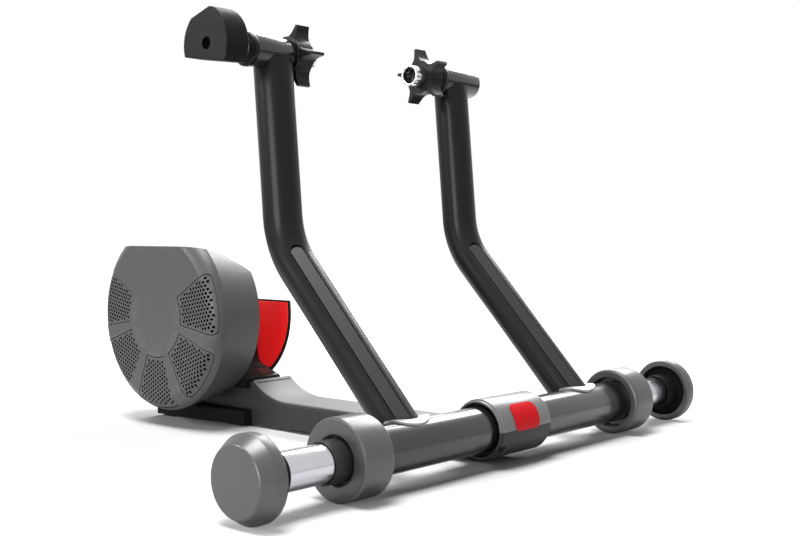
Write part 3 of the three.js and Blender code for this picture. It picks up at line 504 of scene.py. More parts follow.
def finish_mesh(capped=False):
    """Welds the mesh, turns its faces outwards and smooths its round faces."""
    bpy.ops.mesh.select_all(action="SELECT")
    bpy.ops.mesh.remove_doubles(threshold=WELD)
    if capped:
        bpy.ops.mesh.fill_holes(sides=0)
        bpy.ops.mesh.select_all(action="SELECT")
    bpy.ops.mesh.normals_make_consistent(inside=False)
    bpy.ops.object.mode_set(mode="OBJECT")
    bpy.ops.object.shade_smooth_by_angle(angle=math.radians(35))
    return bpy.context.object


def eased(points, closed=False, steps=3):
    """Rounds the corners whose points carry a third number, the radius."""
    done = []
    count = len(points)
    for i, point in enumerate(points):
        here = Vector(point[:2])
        if len(point) < 3 or not point[2] or (not closed and i in (0, count - 1)):
            done.append(here)
            continue
        before = Vector(points[i - 1][:2]) - here
        after = Vector(points[(i + 1) % count][:2]) - here
        angle = before.angle(after)
        if angle > math.pi - 0.02:
            done.append(here)
            continue
        back = min(point[2] / math.tan(angle / 2), 0.49 * before.length, 0.49 * after.length)
        radius = back * math.tan(angle / 2)
        centre = here + (before.normalized() + after.normalized()).normalized() * (
            radius / math.sin(angle / 2)
        )
        first = here + before.normalized() * back - centre
        last = here + after.normalized() * back - centre
        sweep = first.angle_signed(last)
        for step in range(steps + 1):
            spoke = first.copy()
            spoke.rotate(Matrix.Rotation(-sweep * step / steps, 2))
            done.append(centre + spoke)
    return done


def arc(radius, low, high, steps, back=0.0, up=0.0):
    """Points on a circle from one angle to another."""
    angles = [low + (high - low) * step / steps for step in range(steps + 1)]
    return [(back + radius * math.cos(angle), up + radius * math.sin(angle)) for angle in angles]


def curve(first, pull, last, steps):
    """Points on a curve that leaves and ends in the direction of a third point."""
    shares = [step / steps for step in range(steps + 1)]
    return [
        tuple(
            (1 - t) ** 2 * a + 2 * t * (1 - t) * b + t * t * c
            for a, b, c in zip(first, pull, last)
        )
        for t in shares
    ]


def about(axis, points, angle=0.0):
    """Moves outline points to an axis along X, turned by an angle, in millimetres."""
    cos, sin = math.cos(angle), math.sin(angle)
    return [
        (axis.y / MM + y * cos - z * sin, axis.z / MM + y * sin + z * cos, *ease)
        for y, z, *ease in points
    ]


def hoop(near, far, bore, radius, edge=0.6):
    """A tube's closed profile."""
    return [(near, bore), (near, radius, edge), (far, radius, edge), (far, bore)]


def turned(name, profile, axis, steps=None, sign=1):
    """Spins a profile of (along, radius) points, in millimetres, about an axis along X."""
    closed = profile[0][1] > 0
    places = [
        Vector((sign * along * MM, axis.y, axis.z + radius * MM))
        for along, radius in eased(profile, closed)
    ]
    draw(name, places + places[:1] if closed else places)
    spun(steps or bpy.context.scene.trainer_sizes.facets, TURN, (0, axis.y, axis.z))
    return finish_mesh()


def plug(near, far, radius, axis, steps=None, sign=1):
    """A plain round body."""
    profile = [(near, 0), (near, radius), (far, radius), (far, 0)]
    return turned("plug", profile, axis, steps, sign)


def prism(name, places, reach):
    """Fills an outline and extrudes it."""
    draw(name, places)
    bpy.ops.mesh.edge_face_add()
    extruded(reach)
    return finish_mesh()


def slab(name, outline, near, far, ease=4):
    """Fills an outline of (back, up) points and extrudes it along X, in millimetres."""
    places = [Vector((near, back, up)) * MM for back, up in eased(outline, True, ease)]
    return prism(name, places, ((far - near) * MM, 0, 0))


def swept(name, places, steps, angle, centre):
    """Fills an outline and spins it part of the way about an axis along X."""
    draw(name, places)
    bpy.ops.mesh.edge_face_add()
    spun(steps, angle, centre)
    return finish_mesh(capped=True)


def band(name, profile, low, high, steps):
    """A profile spun about the cross tube between two angles from its front."""
    aim = Vector((0, -math.cos(low), math.sin(low)))
    places = [
        TUBE + (aim * radius + Vector((along, 0, 0))) * MM
        for along, radius in eased(profile, True)
    ]
    return swept(name, places, steps, low - high, TUBE)


def modified(piece, kind, **settings):
    """Adds a modifier to a piece and applies it."""
    chosen(piece)
    modifier = piece.modifiers.new(kind.title(), kind)
    for key, value in settings.items():
        setattr(modifier, key, value)
    bpy.ops.object.modifier_apply(modifier=modifier.name)
    return piece


def smoothed(piece, angle):
    """Smooths round faces, led by the large ones."""
    bpy.ops.object.shade_smooth_by_angle(angle=math.radians(angle))
    return modified(piece, "WEIGHTED_NORMAL", keep_sharp=True)


def bevelled(piece, width, segments=3, angle=40, smooth=38):
    """Rounds a piece's sharp edges."""
    modified(
        piece, "BEVEL", width=width * MM, segments=segments, limit_method="ANGLE",
        angle_limit=math.radians(angle), harden_normals=False, use_clamp_overlap=True,
    )
    return smoothed(piece, smooth)


def carved(piece, operation, *tools):
    """Cuts, adds or keeps what other bodies share with a piece, and removes them."""
    for tool in tools:
        modified(piece, "BOOLEAN", object=tool, operation=operation, solver="EXACT")
        bpy.data.objects.remove(tool)
    return piece


def copied(piece, name):
    """A copy with a mesh of its own."""
    chosen(piece)
    bpy.ops.object.duplicate(linked=False)
    copy = bpy.context.object
    copy.name = copy.data.name = name
    return copy


def remade(node, name):
    """A cleaned copy of a node of the frame."""
    copied(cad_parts[node], name).parent = None
    bpy.ops.object.mode_set(mode="EDIT")
    return finish_mesh()


def rolled(piece, angle, axis):
    """Turns a piece's mesh about an axis along X."""
    there, turn = Matrix.Translation(axis), Matrix.Rotation(angle, 4, "X")
    piece.data.transform(there @ turn @ there.inverted())
    return piece


def covered(piece, look):
    """Gives a piece its finish."""
    piece.data.materials.clear()
    piece.data.materials.append(finishes[look].material)


def dress(piece, look, body, slot, *nodes):
    """Gives a piece its finish, its body and the nodes that it stands for."""
    covered(piece, look)
    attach(piece, body)
    if nodes:
        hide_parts(*nodes)


def keep(look, *nodes):
    """Gives kept nodes of the frame a finish."""
    for name in nodes:
        covered(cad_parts[name], look)


# Frame


class TRAINER_OT_cross_tube(bpy.types.Operator):
    """Model the cross tube with its end rings and leg bushes"""

    bl_idname = "trainer.cross_tube"
    bl_label = "Cross tube"

    def execute(self, context):
        sizes = context.scene.trainer_sizes
        radius, edge = sizes.tube_radius / MM, sizes.edge / MM
        lip = sizes.leg_radius / MM + 2
        half, inner, outer, slide = 238.7, 207.0, 245.0, 17.7
        tube = turned("cross_tube_shell", hoop(-half, half, 20.5, radius, 0.8), TUBE)
        dress(tube, "tube_paint", "frame", "charcoal_paint", "cross_tube")
        ring_profile = [
            (inner, radius + 5.5, edge), (inner, FLOOR - 3, 1), (inner + 0.8, FLOOR - 1.4, 1),
            (inner + 3, FLOOR, 2), (outer - 1.5, FLOOR, edge), (outer, FLOOR - 1.5, edge),
            (outer, 23.2, edge), (outer - 1.8, 21.4, edge), (outer - 6, 21.4),
            (outer - 6, radius + GAP), (inner + 15, radius + GAP),
            (inner + 15, radius + 5.5, edge),
        ]
        bush_profile = [
            (half - 34, slide), (half - 34, 20.2), (half, 20.2), (half, lip),
            (half + 20.8, lip, 0.4), (half + 20.8, lip - 0.6, 0.2),
            (half + 21.8, lip - 0.6, 0.2), (half + 21.8, lip, 0.4), (half + 23.3, lip, 0.9),
            (half + 23.3, slide, 0.4),
        ]
        for side, sign in SIDES:
            ring = turned(f"{side}_end_ring_moulding", ring_profile, TUBE, sign=sign)
            dress(ring, "ring", "frame", "ring_rubber", f"{side}_end_ring")
            bush = turned(f"{side}_leg_bush_moulding", bush_profile, TUBE, sign=sign)
            dress(bush, "trim", "frame", "dark_moulding", f"{side}_leg_bush")
        return {"FINISHED"}


class TRAINER_OT_legs(bpy.types.Operator):
    """Model the sliding legs and their foot caps"""

    bl_idname = "trainer.legs"
    bl_label = "Legs"

    def execute(self, context):
        sizes = context.scene.trainer_sizes
        radius, edge = sizes.leg_radius / MM, sizes.edge / MM
        end = 357.0
        leg_profile = hoop(150, 351.7, radius - 2, radius)
        cap_profile = [
            (352, 0), (352, 30.3), (332.4, 30.3, 0.5), (332.4, FLOOR - 1.4, edge),
            (335.4, FLOOR, 1.5), (345.0, FLOOR, 0.8), (end - 0.5, FLOOR - 7.1, 0.8),
            (end, FLOOR - 8.1, 0.5), (end, 24), (end, 12), (end, 0),
        ]
        core_profile = [
            (314.4, radius + GAP, 0.3), (314.4, 19.8, 0.8), (337.4, 19.8, 1),
            (337.4, 27, 1), (333.4, 29, 0.8), (332.9, 30.2), (351.9, 30.2),
            (351.9, radius + GAP),
        ]
        for side, sign in SIDES:
            body = f"{side}_leg"
            leg = turned(f"{side}_leg_chrome", leg_profile, TUBE, sign=sign)
            dress(leg, "chrome", body, "chrome", f"{side}_leg_tube")
            cap = turned(f"{side}_foot_cap_shell", cap_profile, TUBE, sign=sign)
            dress(cap, "ring", body, "ring_rubber", f"{side}_foot_cap")
            core = turned(f"{side}_foot_cap_core", core_profile, TUBE, sign=sign)
            dress(core, "foot", body, "ring_rubber")
        return {"FINISHED"}


UPRIGHT_X = 145.5
LOWER_TILT = math.radians(47)
UPPER_TILT = math.radians(84.85)
LOWER_LENGTH = 250.3
UPPER_LENGTH = 199.0
BEND_RADIUS = 90.0
HEAD = 7.0  # what the clamp sleeve takes of the upper run
LOWER_RUN = Vector((0, math.cos(LOWER_TILT), math.sin(LOWER_TILT)))
LOWER_FRONT = Vector((0, -math.sin(LOWER_TILT), math.cos(LOWER_TILT)))
UPPER_RUN = Vector((0, math.cos(UPPER_TILT), math.sin(UPPER_TILT)))


def along_lower(distance, x):
    """A place on an upright's lower run."""
    return TUBE + (LOWER_RUN * distance + Vector((x, 0, 0))) * MM


def bent_rod(name, x, radius):
    """A round bar that follows an upright's bent line."""
    turn = UPPER_TILT - LOWER_TILT
    tangent = BEND_RADIUS * math.tan(turn / 2)
    added(
        bpy.ops.mesh.primitive_circle_add, name, vertices=ROUND, radius=radius * MM,
        fill_type="NOTHING", location=along_lower(0, x), rotation=(LOWER_TILT - QUARTER, 0, 0),
    )
    bpy.ops.object.mode_set(mode="EDIT")
    bpy.ops.mesh.select_all(action="SELECT")
    extruded(LOWER_RUN * (LOWER_LENGTH - tangent) * MM)
    bend = along_lower(LOWER_LENGTH - tangent, x)
    spun(20, turn, bend + LOWER_FRONT * BEND_RADIUS * MM)
    extruded(UPPER_RUN * (UPPER_LENGTH - HEAD - tangent) * MM)
    return finish_mesh(capped=True)


def channel_bar(name, x, inset, floor, top):
    """The bar that fills the channel down an upright's lower run."""
    lean = math.radians(28)
    out = LOWER_FRONT * math.cos(lean)
    out.x = -math.sin(lean)
    across = LOWER_RUN.cross(out)
    half, low = 7.5 - inset, 12 + inset
    outline = [(-half, low), (half, low)]
    outline += arc(half, 0, math.pi, 14, 0, LOWER_LENGTH - 16 - 7.5)
    places = [
        along_lower(rise, x) + (across * side + out * floor) * MM for side, rise in outline
    ]
    return prism(name, places, out * (top - floor) * MM)


class TRAINER_OT_uprights(bpy.types.Operator):
    """Model the bent uprights with their trims and foot saddles"""

    bl_idname = "trainer.uprights"
    bl_label = "Uprights"

    def execute(self, context):
        sizes = context.scene.trainer_sizes
        radius, tube = sizes.upright_radius / MM, sizes.tube_radius / MM
        sleeve, plate, washer = sizes.sleeve_radius / MM, tube + GAP + 2, 19.8
        for side, sign in SIDES:
            x = sign * UPRIGHT_X
            near, far = x - 40, x + 40
            bar = bent_rod(f"{side}_upright_paint", x, radius)
            foot, head = plug(near, far, tube + GAP, TUBE), plug(near, far, sleeve + GAP, CLAMP)
            channel = channel_bar("channel", x, 0, radius - 2.6, radius + 6)
            carved(bar, "DIFFERENCE", foot, head, channel)
            if side == "left":
                carved(bar, "DIFFERENCE", plug(-126.9, -110, washer + GAP, CLAMP))
            bevelled(bar, 0.5, 2)
            dress(bar, "upright_paint", "frame", "black_paint", f"{side}_upright")
            strip = channel_bar(f"{side}_trim_strip", x, 1.0, radius - 2.3, radius - 0.7)
            carved(strip, "DIFFERENCE", plug(near, far, plate + GAP, TUBE))
            bevelled(strip, 0.4, 2, 35)
            dress(strip, "trim", "frame", "dark_moulding", f"{side}_upright_trim")
            self.saddle(side, x, hoop(x - 26, x + 26, tube + GAP, plate, 0), radius + GAP)
        return {"FINISHED"}

    def saddle(self, side, x, profile, hole):
        """A thin oval flange round the upright's foot."""
        plate = turned(f"{side}_foot_saddle_plate", profile, TUBE)
        radius = 25.9
        oval = added(
            bpy.ops.mesh.primitive_cylinder_add, vertices=ROUND, radius=radius * MM,
            depth=78 * MM, location=TUBE + Vector((x, 4.7, 40)) * MM,
            scale=(1, 17.4 / radius, 1),
        )
        carved(plate, "INTERSECT", oval)
        carved(plate, "DIFFERENCE", bent_rod("upright_clearance", x, hole))
        bevelled(plate, 0.6, 2, 35)
        dress(plate, "silver", "frame", "satin_silver", f"{side}_foot_saddle")


# Axle clamps


def star_knob(name, inner, turn, sign, tip):
    """A knob whose five thin lobes run down in curves to a round hub."""
    outer, full, hub, shoulder = inner + 20.5, inner + 16.9, 19.6, 16.6
    flank = [(17.2, 8.0), (19.6, 5.2), (21.8, 3.9), (24.5, 2.9), (28.5, 2.1), (tip, 1.4)]
    lobe = flank + [(out, -half) for out, half in reversed(flank)]
    outline = []
    for index in range(5):
        outline += about(CLAMP, lobe, math.pi - turn - index * TURN / 5)
    star = slab(name, outline, sign * inner, sign * outer)
    slope = [
        (inner - 2, 0), (inner - 2, 40), (full, 40), (full, tip),
        (outer - 1.4, 23), (outer, 19), (outer, 0),
    ]
    carved(star, "INTERSECT", turned("lobe_slope", slope, CLAMP, sign=sign))
    profile = [
        (inner, 0), (inner, shoulder - 0.8, 0.6), (inner + 0.8, shoulder, 0.4),
        (inner + 0.8, hub, 1.4), (outer, hub, 1.0), (outer, 0),
    ]
    carved(star, "UNION", turned("hub", profile, CLAMP, sign=sign))
    carved(star, "DIFFERENCE", plug(inner - 2, outer + 2, BORE, CLAMP, 48, sign))
    return bevelled(star, 0.6, 2)


def lever_handle():
    """The lever handle: a round body with a flat, a lip and a facet, its edges rounded."""
    radius, flat, taper, hole = 35.6, -15.7, 0.86, 6.4
    facet, half = math.radians(64.5), math.acos(32.5 / radius)
    back = math.asin(-flat / radius)
    outline = [(-36.0, flat, 6), (radius * math.cos(back), flat)]
    outline += arc(radius, -back, facet - half, 22) + arc(radius, facet + half, math.pi, 16)
    outline = about(CLAMP, outline, math.radians(8.5))
    low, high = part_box("clamp_handle")
    outer, inner = low.x / MM, high.x / MM
    body = slab("clamp_handle_moulding", outline[1:] + outline[:1], outer, inner)
    bpy.ops.object.mode_set(mode="EDIT")
    bpy.ops.mesh.select_all(action="SELECT")
    bpy.ops.mesh.dissolve_limited(angle_limit=math.radians(0.5))
    bpy.ops.object.mode_set(mode="OBJECT")
    for vertex in body.data.vertices:
        if vertex.co.x < low.x + MM and vertex.co.y < CLAMP.y:
            vertex.co.y = CLAMP.y + (vertex.co.y - CLAMP.y) * taper
    bevelled(body, 1.2, 4, 50)
    carved(body, "DIFFERENCE", plug(3 - outer, -inner - 3, hole, CLAMP, 48, -1))
    return smoothed(body, 38)


class TRAINER_OT_clamps(bpy.types.Operator):
    """Model the axle clamps: sleeves, spindles, knobs, rings and the lever handle"""

    bl_idname = "trainer.clamps"
    bl_label = "Axle clamps"

    def execute(self, context):
        sizes = context.scene.trainer_sizes
        tip = sizes.knob_radius / MM
        for side, sign in SIDES:
            self.sleeve(side, sign, sizes.sleeve_radius / MM)
            self.spindle(side, sign, sizes.cup_radius / MM)
        washers = (
            ("left", -1, "knob", hoop(124.1, 126.6, BORE, 19.8)),
            ("right", 1, "trim", hoop(117.3, 121.7, BORE, 18.7)),
        )
        for side, sign, look, profile in washers:
            washer = turned(f"{side}_clamp_washer_ring", profile, CLAMP, sign=sign)
            dress(washer, look, "frame", "black_moulding", f"{side}_clamp_washer")
        knobs = (
            ("left_knob", "left_lock_knob", 103.3, 73.3, -1),
            ("right_knob", "right_adjust_knob", 85.9, 98.7, 1),
        )
        for body, node, inner, turn, sign in knobs:
            star = star_knob(f"{body}_star", inner, math.radians(turn), sign, tip)
            dress(star, "knob", body, "black_moulding", node)
        self.lock_ring()
        profile = [
            (177.3, BORE), (177.3, 17.2, 0.6), (181.7, 17.2, 0.8), (183.2, 15.7, 0.8),
            (183.2, BORE),
        ]
        collar = turned("left_end_collar_ring", profile, CLAMP, sign=-1)
        dress(collar, "knob", "frame", "black_moulding", "left_end_collar")
        profile = [
            (170, 0), (170, 10), (183.5, 10), (183.5, 12, 0.4), (207.2, 12, 0.4),
            (207.2, 5.6), (218.5, 5.6, 0.6), (218.5, 3, 0.2), (217.5, 2.6), (217.5, 0),
        ]
        shaft = turned("handle_shaft_steel", profile, CLAMP, sign=-1)
        dress(shaft, "chrome", "lock_handle", "satin_silver", "handle_shaft")
        dress(lever_handle(), "handle", "lock_handle", "dark_moulding", "clamp_handle")
        return {"FINISHED"}

    def sleeve(self, side, sign, radius):
        near, far = (126.9, 177.0) if side == "left" else (122.0, 184.5)
        profile = hoop(near, far, BORE, radius, 0.8)
        sleeve = turned(f"{side}_sleeve_paint", profile, CLAMP, sign=sign)
        dress(sleeve, "tube_paint", "frame", "charcoal_paint", f"{side}_clamp_sleeve")

    def spindle(self, side, sign, radius):
        rim, shoulder = (93, 103) if side == "left" else (69, 85.6)
        profile = [
            (rim + 9, 0), (rim + 9, 8.6, 0.8), (rim + 8, 9.4, 0.4), (rim + 0.6, 9.4, 0.3),
            (rim, 10, 0.4), (rim, radius - 0.9, 0.5), (rim + 0.9, radius, 0.5),
            (shoulder, radius, 0.4), (shoulder, 10), (166, 10, 0.6), (166, 0),
        ]
        cup = turned(f"{side}_axle_cup", profile, CLAMP, sign=sign)
        dress(cup, "cup", f"{side}_axle_spindle", "chrome", f"{side}_spindle")

    def lock_ring(self):
        """A knurled ring with a plain groove round its middle."""
        near, far, radius, rim, teeth = 106.7, 117.0, 18.0, 17.2, 36
        tooth = ((0.0, radius), (0.5, radius), (0.62, radius - 0.9), (0.88, radius - 0.9))
        spokes = [
            (TURN * (index + share) / teeth, out) for index in range(teeth) for share, out in tooth
        ]
        points = [(out * math.cos(angle), out * math.sin(angle)) for angle, out in spokes]
        ring = slab("right_lock_ring_knurled", about(CLAMP, points), near, far)
        centre, over, deep = (near + far) / 2, radius + 0.2, radius - 1.6
        profile = [
            (near - 1, 0), (near - 1, rim), (near, rim), (near + 0.9, over),
            (centre - 0.8, over), (centre - 0.8, deep), (centre + 0.8, deep),
            (centre + 0.8, over), (far - 0.9, over), (far, rim), (far + 1, rim), (far + 1, 0),
        ]
        carved(ring, "INTERSECT", turned("ring_turning", profile, CLAMP))
        carved(ring, "DIFFERENCE", plug(near - 2, far + 2, BORE, CLAMP, 48))
        bpy.ops.object.shade_smooth_by_angle(angle=math.radians(30))
        dress(ring, "knob", "right_locknut", "black_moulding", "right_lock_ring")


# Collar, arm and foot


COLLAR_BORE = 27.2
COLLAR_RADIUS = 30.5
COLLAR_HALF = 44.0
SEAM = 0.15 / COLLAR_RADIUS


def collar_half(name, low, high):
    """Part of the collar's ring between two angles, measured from the front over the top."""
    lip, step = COLLAR_HALF - 3.5, COLLAR_RADIUS - 1.3
    profile = [
        (-COLLAR_HALF, COLLAR_BORE, 0.4), (-COLLAR_HALF, step, 0.7), (-lip, step, 0.2),
        (-lip, COLLAR_RADIUS, 0.5), (lip, COLLAR_RADIUS, 0.5), (lip, step, 0.2),
        (COLLAR_HALF, step, 0.7), (COLLAR_HALF, COLLAR_BORE, 0.4),
    ]
    return band(name, profile, low, high, 48)


class TRAINER_OT_collar(bpy.types.Operator):
    """Model the collar's cap, its badge and its screw"""

    bl_idname = "trainer.collar"
    bl_label = "Collar"

    def execute(self, context):
        cap = collar_half("collar_cap_moulding", SEAM, math.pi - SEAM)
        dress(cap, "collar", "base", "grey_moulding", "collar_cap")
        self.badge()
        keep("rubber", "collar_bush")
        keep("foot", "collar_screw")
        return {"FINISHED"}

    def badge(self):
        """A thin red plate, rounded at its corners, bent to the collar."""
        low, high, wide, ease = math.radians(-2), math.radians(51), 20.5, 8
        profile = hoop(-wide, wide, COLLAR_RADIUS + 0.3, COLLAR_RADIUS + 1.2, 0)
        plate = band("collar_badge_plate", profile, low, high, 24)
        centre = (low + high) / 2
        out = Vector((0, -math.cos(centre), math.sin(centre)))
        up = Vector((0, math.sin(centre), math.cos(centre)))
        half = (high - low) / 2 * COLLAR_RADIUS + 0.2
        corners = [
            (-wide, -half, ease), (wide, -half, ease), (wide, half, ease), (-wide, half, ease)
        ]
        base = TUBE + out * (COLLAR_RADIUS - 14) * MM
        places = [
            base + (Vector((side, 0, 0)) + up * rise) * MM
            for side, rise in eased(corners, True, ease)
        ]
        carved(plate, "INTERSECT", prism("badge_outline", places, out * 30 * MM))
        bevelled(plate, 0.35, 3, 50)
        dress(plate, "badge", "base", "red_gloss", "collar_badge")


class TRAINER_OT_arm(bpy.types.Operator):
    """Model the arm, its cover plate, the foot and the pads"""

    bl_idname = "trainer.arm"
    bl_label = "Arm and foot"

    def execute(self, context):
        tube = TUBE.y / MM
        bar_end, foot_end, low, deck = 352.0, 505.0, 34.0, ARM_DECK
        rise, run = 55.5 - low, 57.0
        radius = (run**2 + rise**2) / (2 * rise)
        sweep = math.asin(run / radius)

        def sweep_up(drop, last=sweep):
            """The curve up to the roller unit, lowered by a depth."""
            return arc(
                radius + drop, -QUARTER, last - QUARTER, 16, tube + bar_end - run, low + radius
            )

        drop = 2.8
        under = sweep_up(drop)
        outline = [
            (tube, 7.0), (tube + bar_end, 2.2, 1), (tube + bar_end, 19.6),
            (tube + foot_end, 19.6), (tube + foot_end, deck, 3), (under[-1][0], deck),
            *under[::-1], (tube, low - drop),
        ]
        bar = slab("arm_body_casting", outline, -34, 34)
        carved(bar, "DIFFERENCE", plug(-50, 50, COLLAR_BORE + 0.02, TUBE))
        room_for_cap = block(TUBE + Vector((0, 0, 30)) * MM, Vector((100, 61, 59.7)) * MM)
        carved(bar, "DIFFERENCE", room_for_cap)
        bevelled(bar, 0.8)
        lower = collar_half("lower_collar", -SEAM, SEAM - math.pi)
        self.notch(lower)
        chosen(bar, lower)
        bpy.ops.object.join()
        dress(bar, "arm", "base", "dark_casting", "arm_body")
        outline = [
            (tube + 30.8, low, 0.5), (tube + 30.8, low - 2.5), *sweep_up(2.5), *sweep_up(0)[::-1]
        ]
        cover = slab("arm_cover_plate", outline, -30, 30)
        angle = sweep - 5.0 / radius
        y, z = sweep_up(0, angle)[-1]
        groove = block(Vector((0, y, z)) * MM, Vector((54, 1.3, 2.4)) * MM, (angle, 0, 0))
        carved(cover, "DIFFERENCE", groove)
        bevelled(cover, 0.4, 2)
        dress(cover, "cover", "base", "satin_silver", "arm_cover")
        keep("rubber", "front_foot_pad", "rear_foot_pad")
        self.foot()
        return {"FINISHED"}

    def notch(self, lower):
        """The screw's seat low on the collar's left end."""
        turn = math.radians(36)
        place = Vector((-40.75, -COLLAR_BORE - 5.3, 0)) * MM
        place.rotate(Matrix.Rotation(turn, 3, "X"))
        seat = block(TUBE + place, Vector((18.5, 9, 8)) * MM, (turn, 0, 0))
        carved(lower, "DIFFERENCE", seat)

    def foot(self):
        """The plate under the roller unit, with rounded edges and pockets for its pads."""
        low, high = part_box("arm_foot")
        centre = (low + high) / 2
        plate = block(centre, high - low, name="arm_foot_moulding")
        for vertex in plate.data.vertices:
            if vertex.co.y < low.y + MM:
                vertex.co.x = centre.x + (vertex.co.x - centre.x) * 46 / 60
        for node in ("front_foot_pad", "rear_foot_pad"):
            low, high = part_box(node)
            room = Vector((2, 2, 2)) * GAP * MM
            carved(plate, "DIFFERENCE", block((low + high) / 2, high - low + room))
        bevelled(plate, 1.2)
        dress(plate, "foot", "base", "black_moulding", "arm_foot")


# Roller unit


DECK = ARM_DECK + GAP - ROLLER_HEIGHT  # the unit's underside, from the roller's axis
GUARD_RADIUS = 91.5
GUARD_TOP = 17.0


class TRAINER_OT_unit(bpy.types.Operator):
    """Model the roller unit's carrier, guard and roller"""

    bl_idname = "trainer.unit"
    bl_label = "Roller unit"

    def execute(self, context):
        self.carrier()
        self.guard()
        profile = [
            (-18, 6.3), (-18, 29, 0.8), (-22, 29, 0.5), (-22, 32.5), (-20.5, 34, 0.6),
            (20.5, 34, 0.6), (22, 32.5), (22, 29, 0.5), (18, 29, 0.8), (18, 6.3),
        ]
        roller = turned("roller_steel", profile, ROLLER)
        dress(roller, "steel", "roller", "steel", "roller")
        plate = bevelled(remade("toe_plate", "toe_plate_silver"), 0.5)
        dress(plate, "trim", "base", "satin_silver", "toe_plate")
        keep("steel", "left_bearing", "right_bearing", "roller_shaft")
        keep("iron", "flywheel", "stator_core")
        keep("copper", "brake_coil")
        keep("board", "circuit_board")
        keep("foot", "drum_back_plate")
        return {"FINISHED"}

    def carrier(self):
        side, floor = 30.7, -25.5
        turns = [QUARTER * step / 6 for step in range(7)]
        sill = [
            (-side - 16.3 * (1 - math.cos(turn)), DECK + 37 - 16.5 * math.sin(turn))
            for turn in turns
        ]
        outline = [(-73, DECK), (62, DECK), (side, floor), (-side, floor), *sill]
        outline += [(-73, DECK + 11, 1.5)]
        casting = slab("unit_carrier_casting", about(ROLLER, outline), -33, 23.7)
        carved(casting, "DIFFERENCE", plug(-26, 24, 38, ROLLER))
        outline = [(-side, floor - 0.1), (-24, 0), (24, 0), (side, floor - 0.1)]
        web = slab("cheek_web", about(ROLLER, outline), -33, -26)
        carved(casting, "UNION", web, plug(-33, -26, 24, ROLLER))
        toe = remade("toe_plate", "toe_clearance")
        there = Matrix.Translation(middle("toe_plate"))
        grow = Matrix.Diagonal((1.03, 1.03, 1.25, 1))
        toe.data.transform(there @ grow @ there.inverted())
        carved(casting, "DIFFERENCE", plug(-39, -20, 14, ROLLER), toe)
        bevelled(casting, 1.0)
        dress(casting, "foot", "base", "dark_casting", "unit_carrier")

    def guard(self):
        top, low = math.asin(GUARD_TOP / GUARD_RADIUS), math.asin(-DECK / GUARD_RADIUS)
        outline = arc(GUARD_RADIUS, -low, top, 32)
        outline += arc(GUARD_RADIUS, math.pi - top, math.pi + low, 32)
        lean = 0.955
        plate = slab("guard_plate_moulding", about(ROLLER, outline), 24, 30)
        for vertex in plate.data.vertices:
            if vertex.co.x > 27 * MM and vertex.co.z > ROLLER.z + DECK * MM + MM:
                vertex.co.y = ROLLER.y + (vertex.co.y - ROLLER.y) * lean
        carved(plate, "UNION", plug(25, 38, 16.5, ROLLER))
        pocket = slab("panel_pocket", about(ROLLER, self.panel(GAP)), 18, 26.8)
        carved(plate, "DIFFERENCE", pocket, plug(18, 35, 14, ROLLER))
        bevelled(plate, 0.8)
        dress(plate, "foot", "base", "dark_moulding", "guard_plate")
        red = slab("guard_panel_red", about(ROLLER, self.panel(0)), 24, 26.5)
        bevelled(red, 0.7)
        dress(red, "panel", "base", "red_gloss", "guard_panel")

    def panel(self, clearance):
        """The red panel's outline: an arc along the guard's rim and a swept lower corner."""
        radius = GUARD_RADIUS - 4.1 + clearance
        top = GUARD_TOP - 2 + clearance
        rear = clearance - 30
        first, last = math.pi - math.asin(top / radius), math.pi + math.radians(52)
        outline = [(rear, top), *arc(radius, first, last, 32)]
        foot = outline[-1][1]
        return outline + curve(outline[-1], (rear, foot), (rear, foot + 24), 12)[1:]


# Drum

WALL = 2.6
VENT_PITCH = math.radians(50.5)
VENT_SIDE = math.radians(20)


def fillet(inset):
    """Points round the drum's front edge, which meets its face and barrel at a crease."""
    first, last = math.pi - FILLET_LEAN, QUARTER + FILLET_LEAN
    return arc(FILLET - inset, first, last, 12, FILLET_X, FILLET_OUT)


def drum_solid(name, inset, rim_end):
    """The drum's outside as a full turned body, or a surface that lies inset within it."""
    taper = 11.0
    slope = taper / (DRUM_FACE - DRUM_ROUND - DRUM_RIM)
    end = FACE_RADIUS + DRUM_ROUND - taper - inset - slope * (DRUM_RIM + rim_end)
    profile = [(-DRUM_FACE + inset, radius) for radius in (0, 20, 40, 60, 80, 93)]
    profile += [*fillet(inset), (rim_end, end), (rim_end, 0)]
    return turned(name, profile, ROLLER, steps=160)


def under_top(name, inset):
    """Everything under the drum's top, which is flat across and curves down to the rim."""
    front, rim, far, half = -DRUM_FACE - 6, -DRUM_RIM + 6, -130, 130
    first, last = (-DRUM_RIM, 54.5 - inset), (-DRUM_FACE, 85.5 - inset)
    top = curve(first, (-(DRUM_FACE + DRUM_RIM) / 2, 79.8 - inset), last, 20)
    outline = [(front, far), (rim, far), (rim, first[1]), *top, (front, last[1])]
    places = [ROLLER + Vector((x, -half, z)) * MM for x, z in outline]
    return prism(name, places, (0, 2 * half * MM, 0))


def vent_body(name, inset):
    """A body over the lowest vent, rounded at its corners."""
    inner, outer = 48.5 + inset, 110.5 - inset
    corners = [(inner, -1), (inner, 1), (outer, 1), (outer, -1)]
    points = []
    for (radius, sign), (next_radius, next_sign) in zip(corners, corners[1:] + corners[:1]):
        first = (VENT_SIDE - inset / radius) * sign - QUARTER
        last = (VENT_SIDE - inset / next_radius) * next_sign - QUARTER
        points.append((radius * math.cos(first), radius * math.sin(first), 6))
        if radius == next_radius:
            points += arc(radius, first, last, 12)[2:11]
    return slab(name, about(ROLLER, points), -DRUM_FACE - 6, DRUM_ROUND - DRUM_FACE, 6)


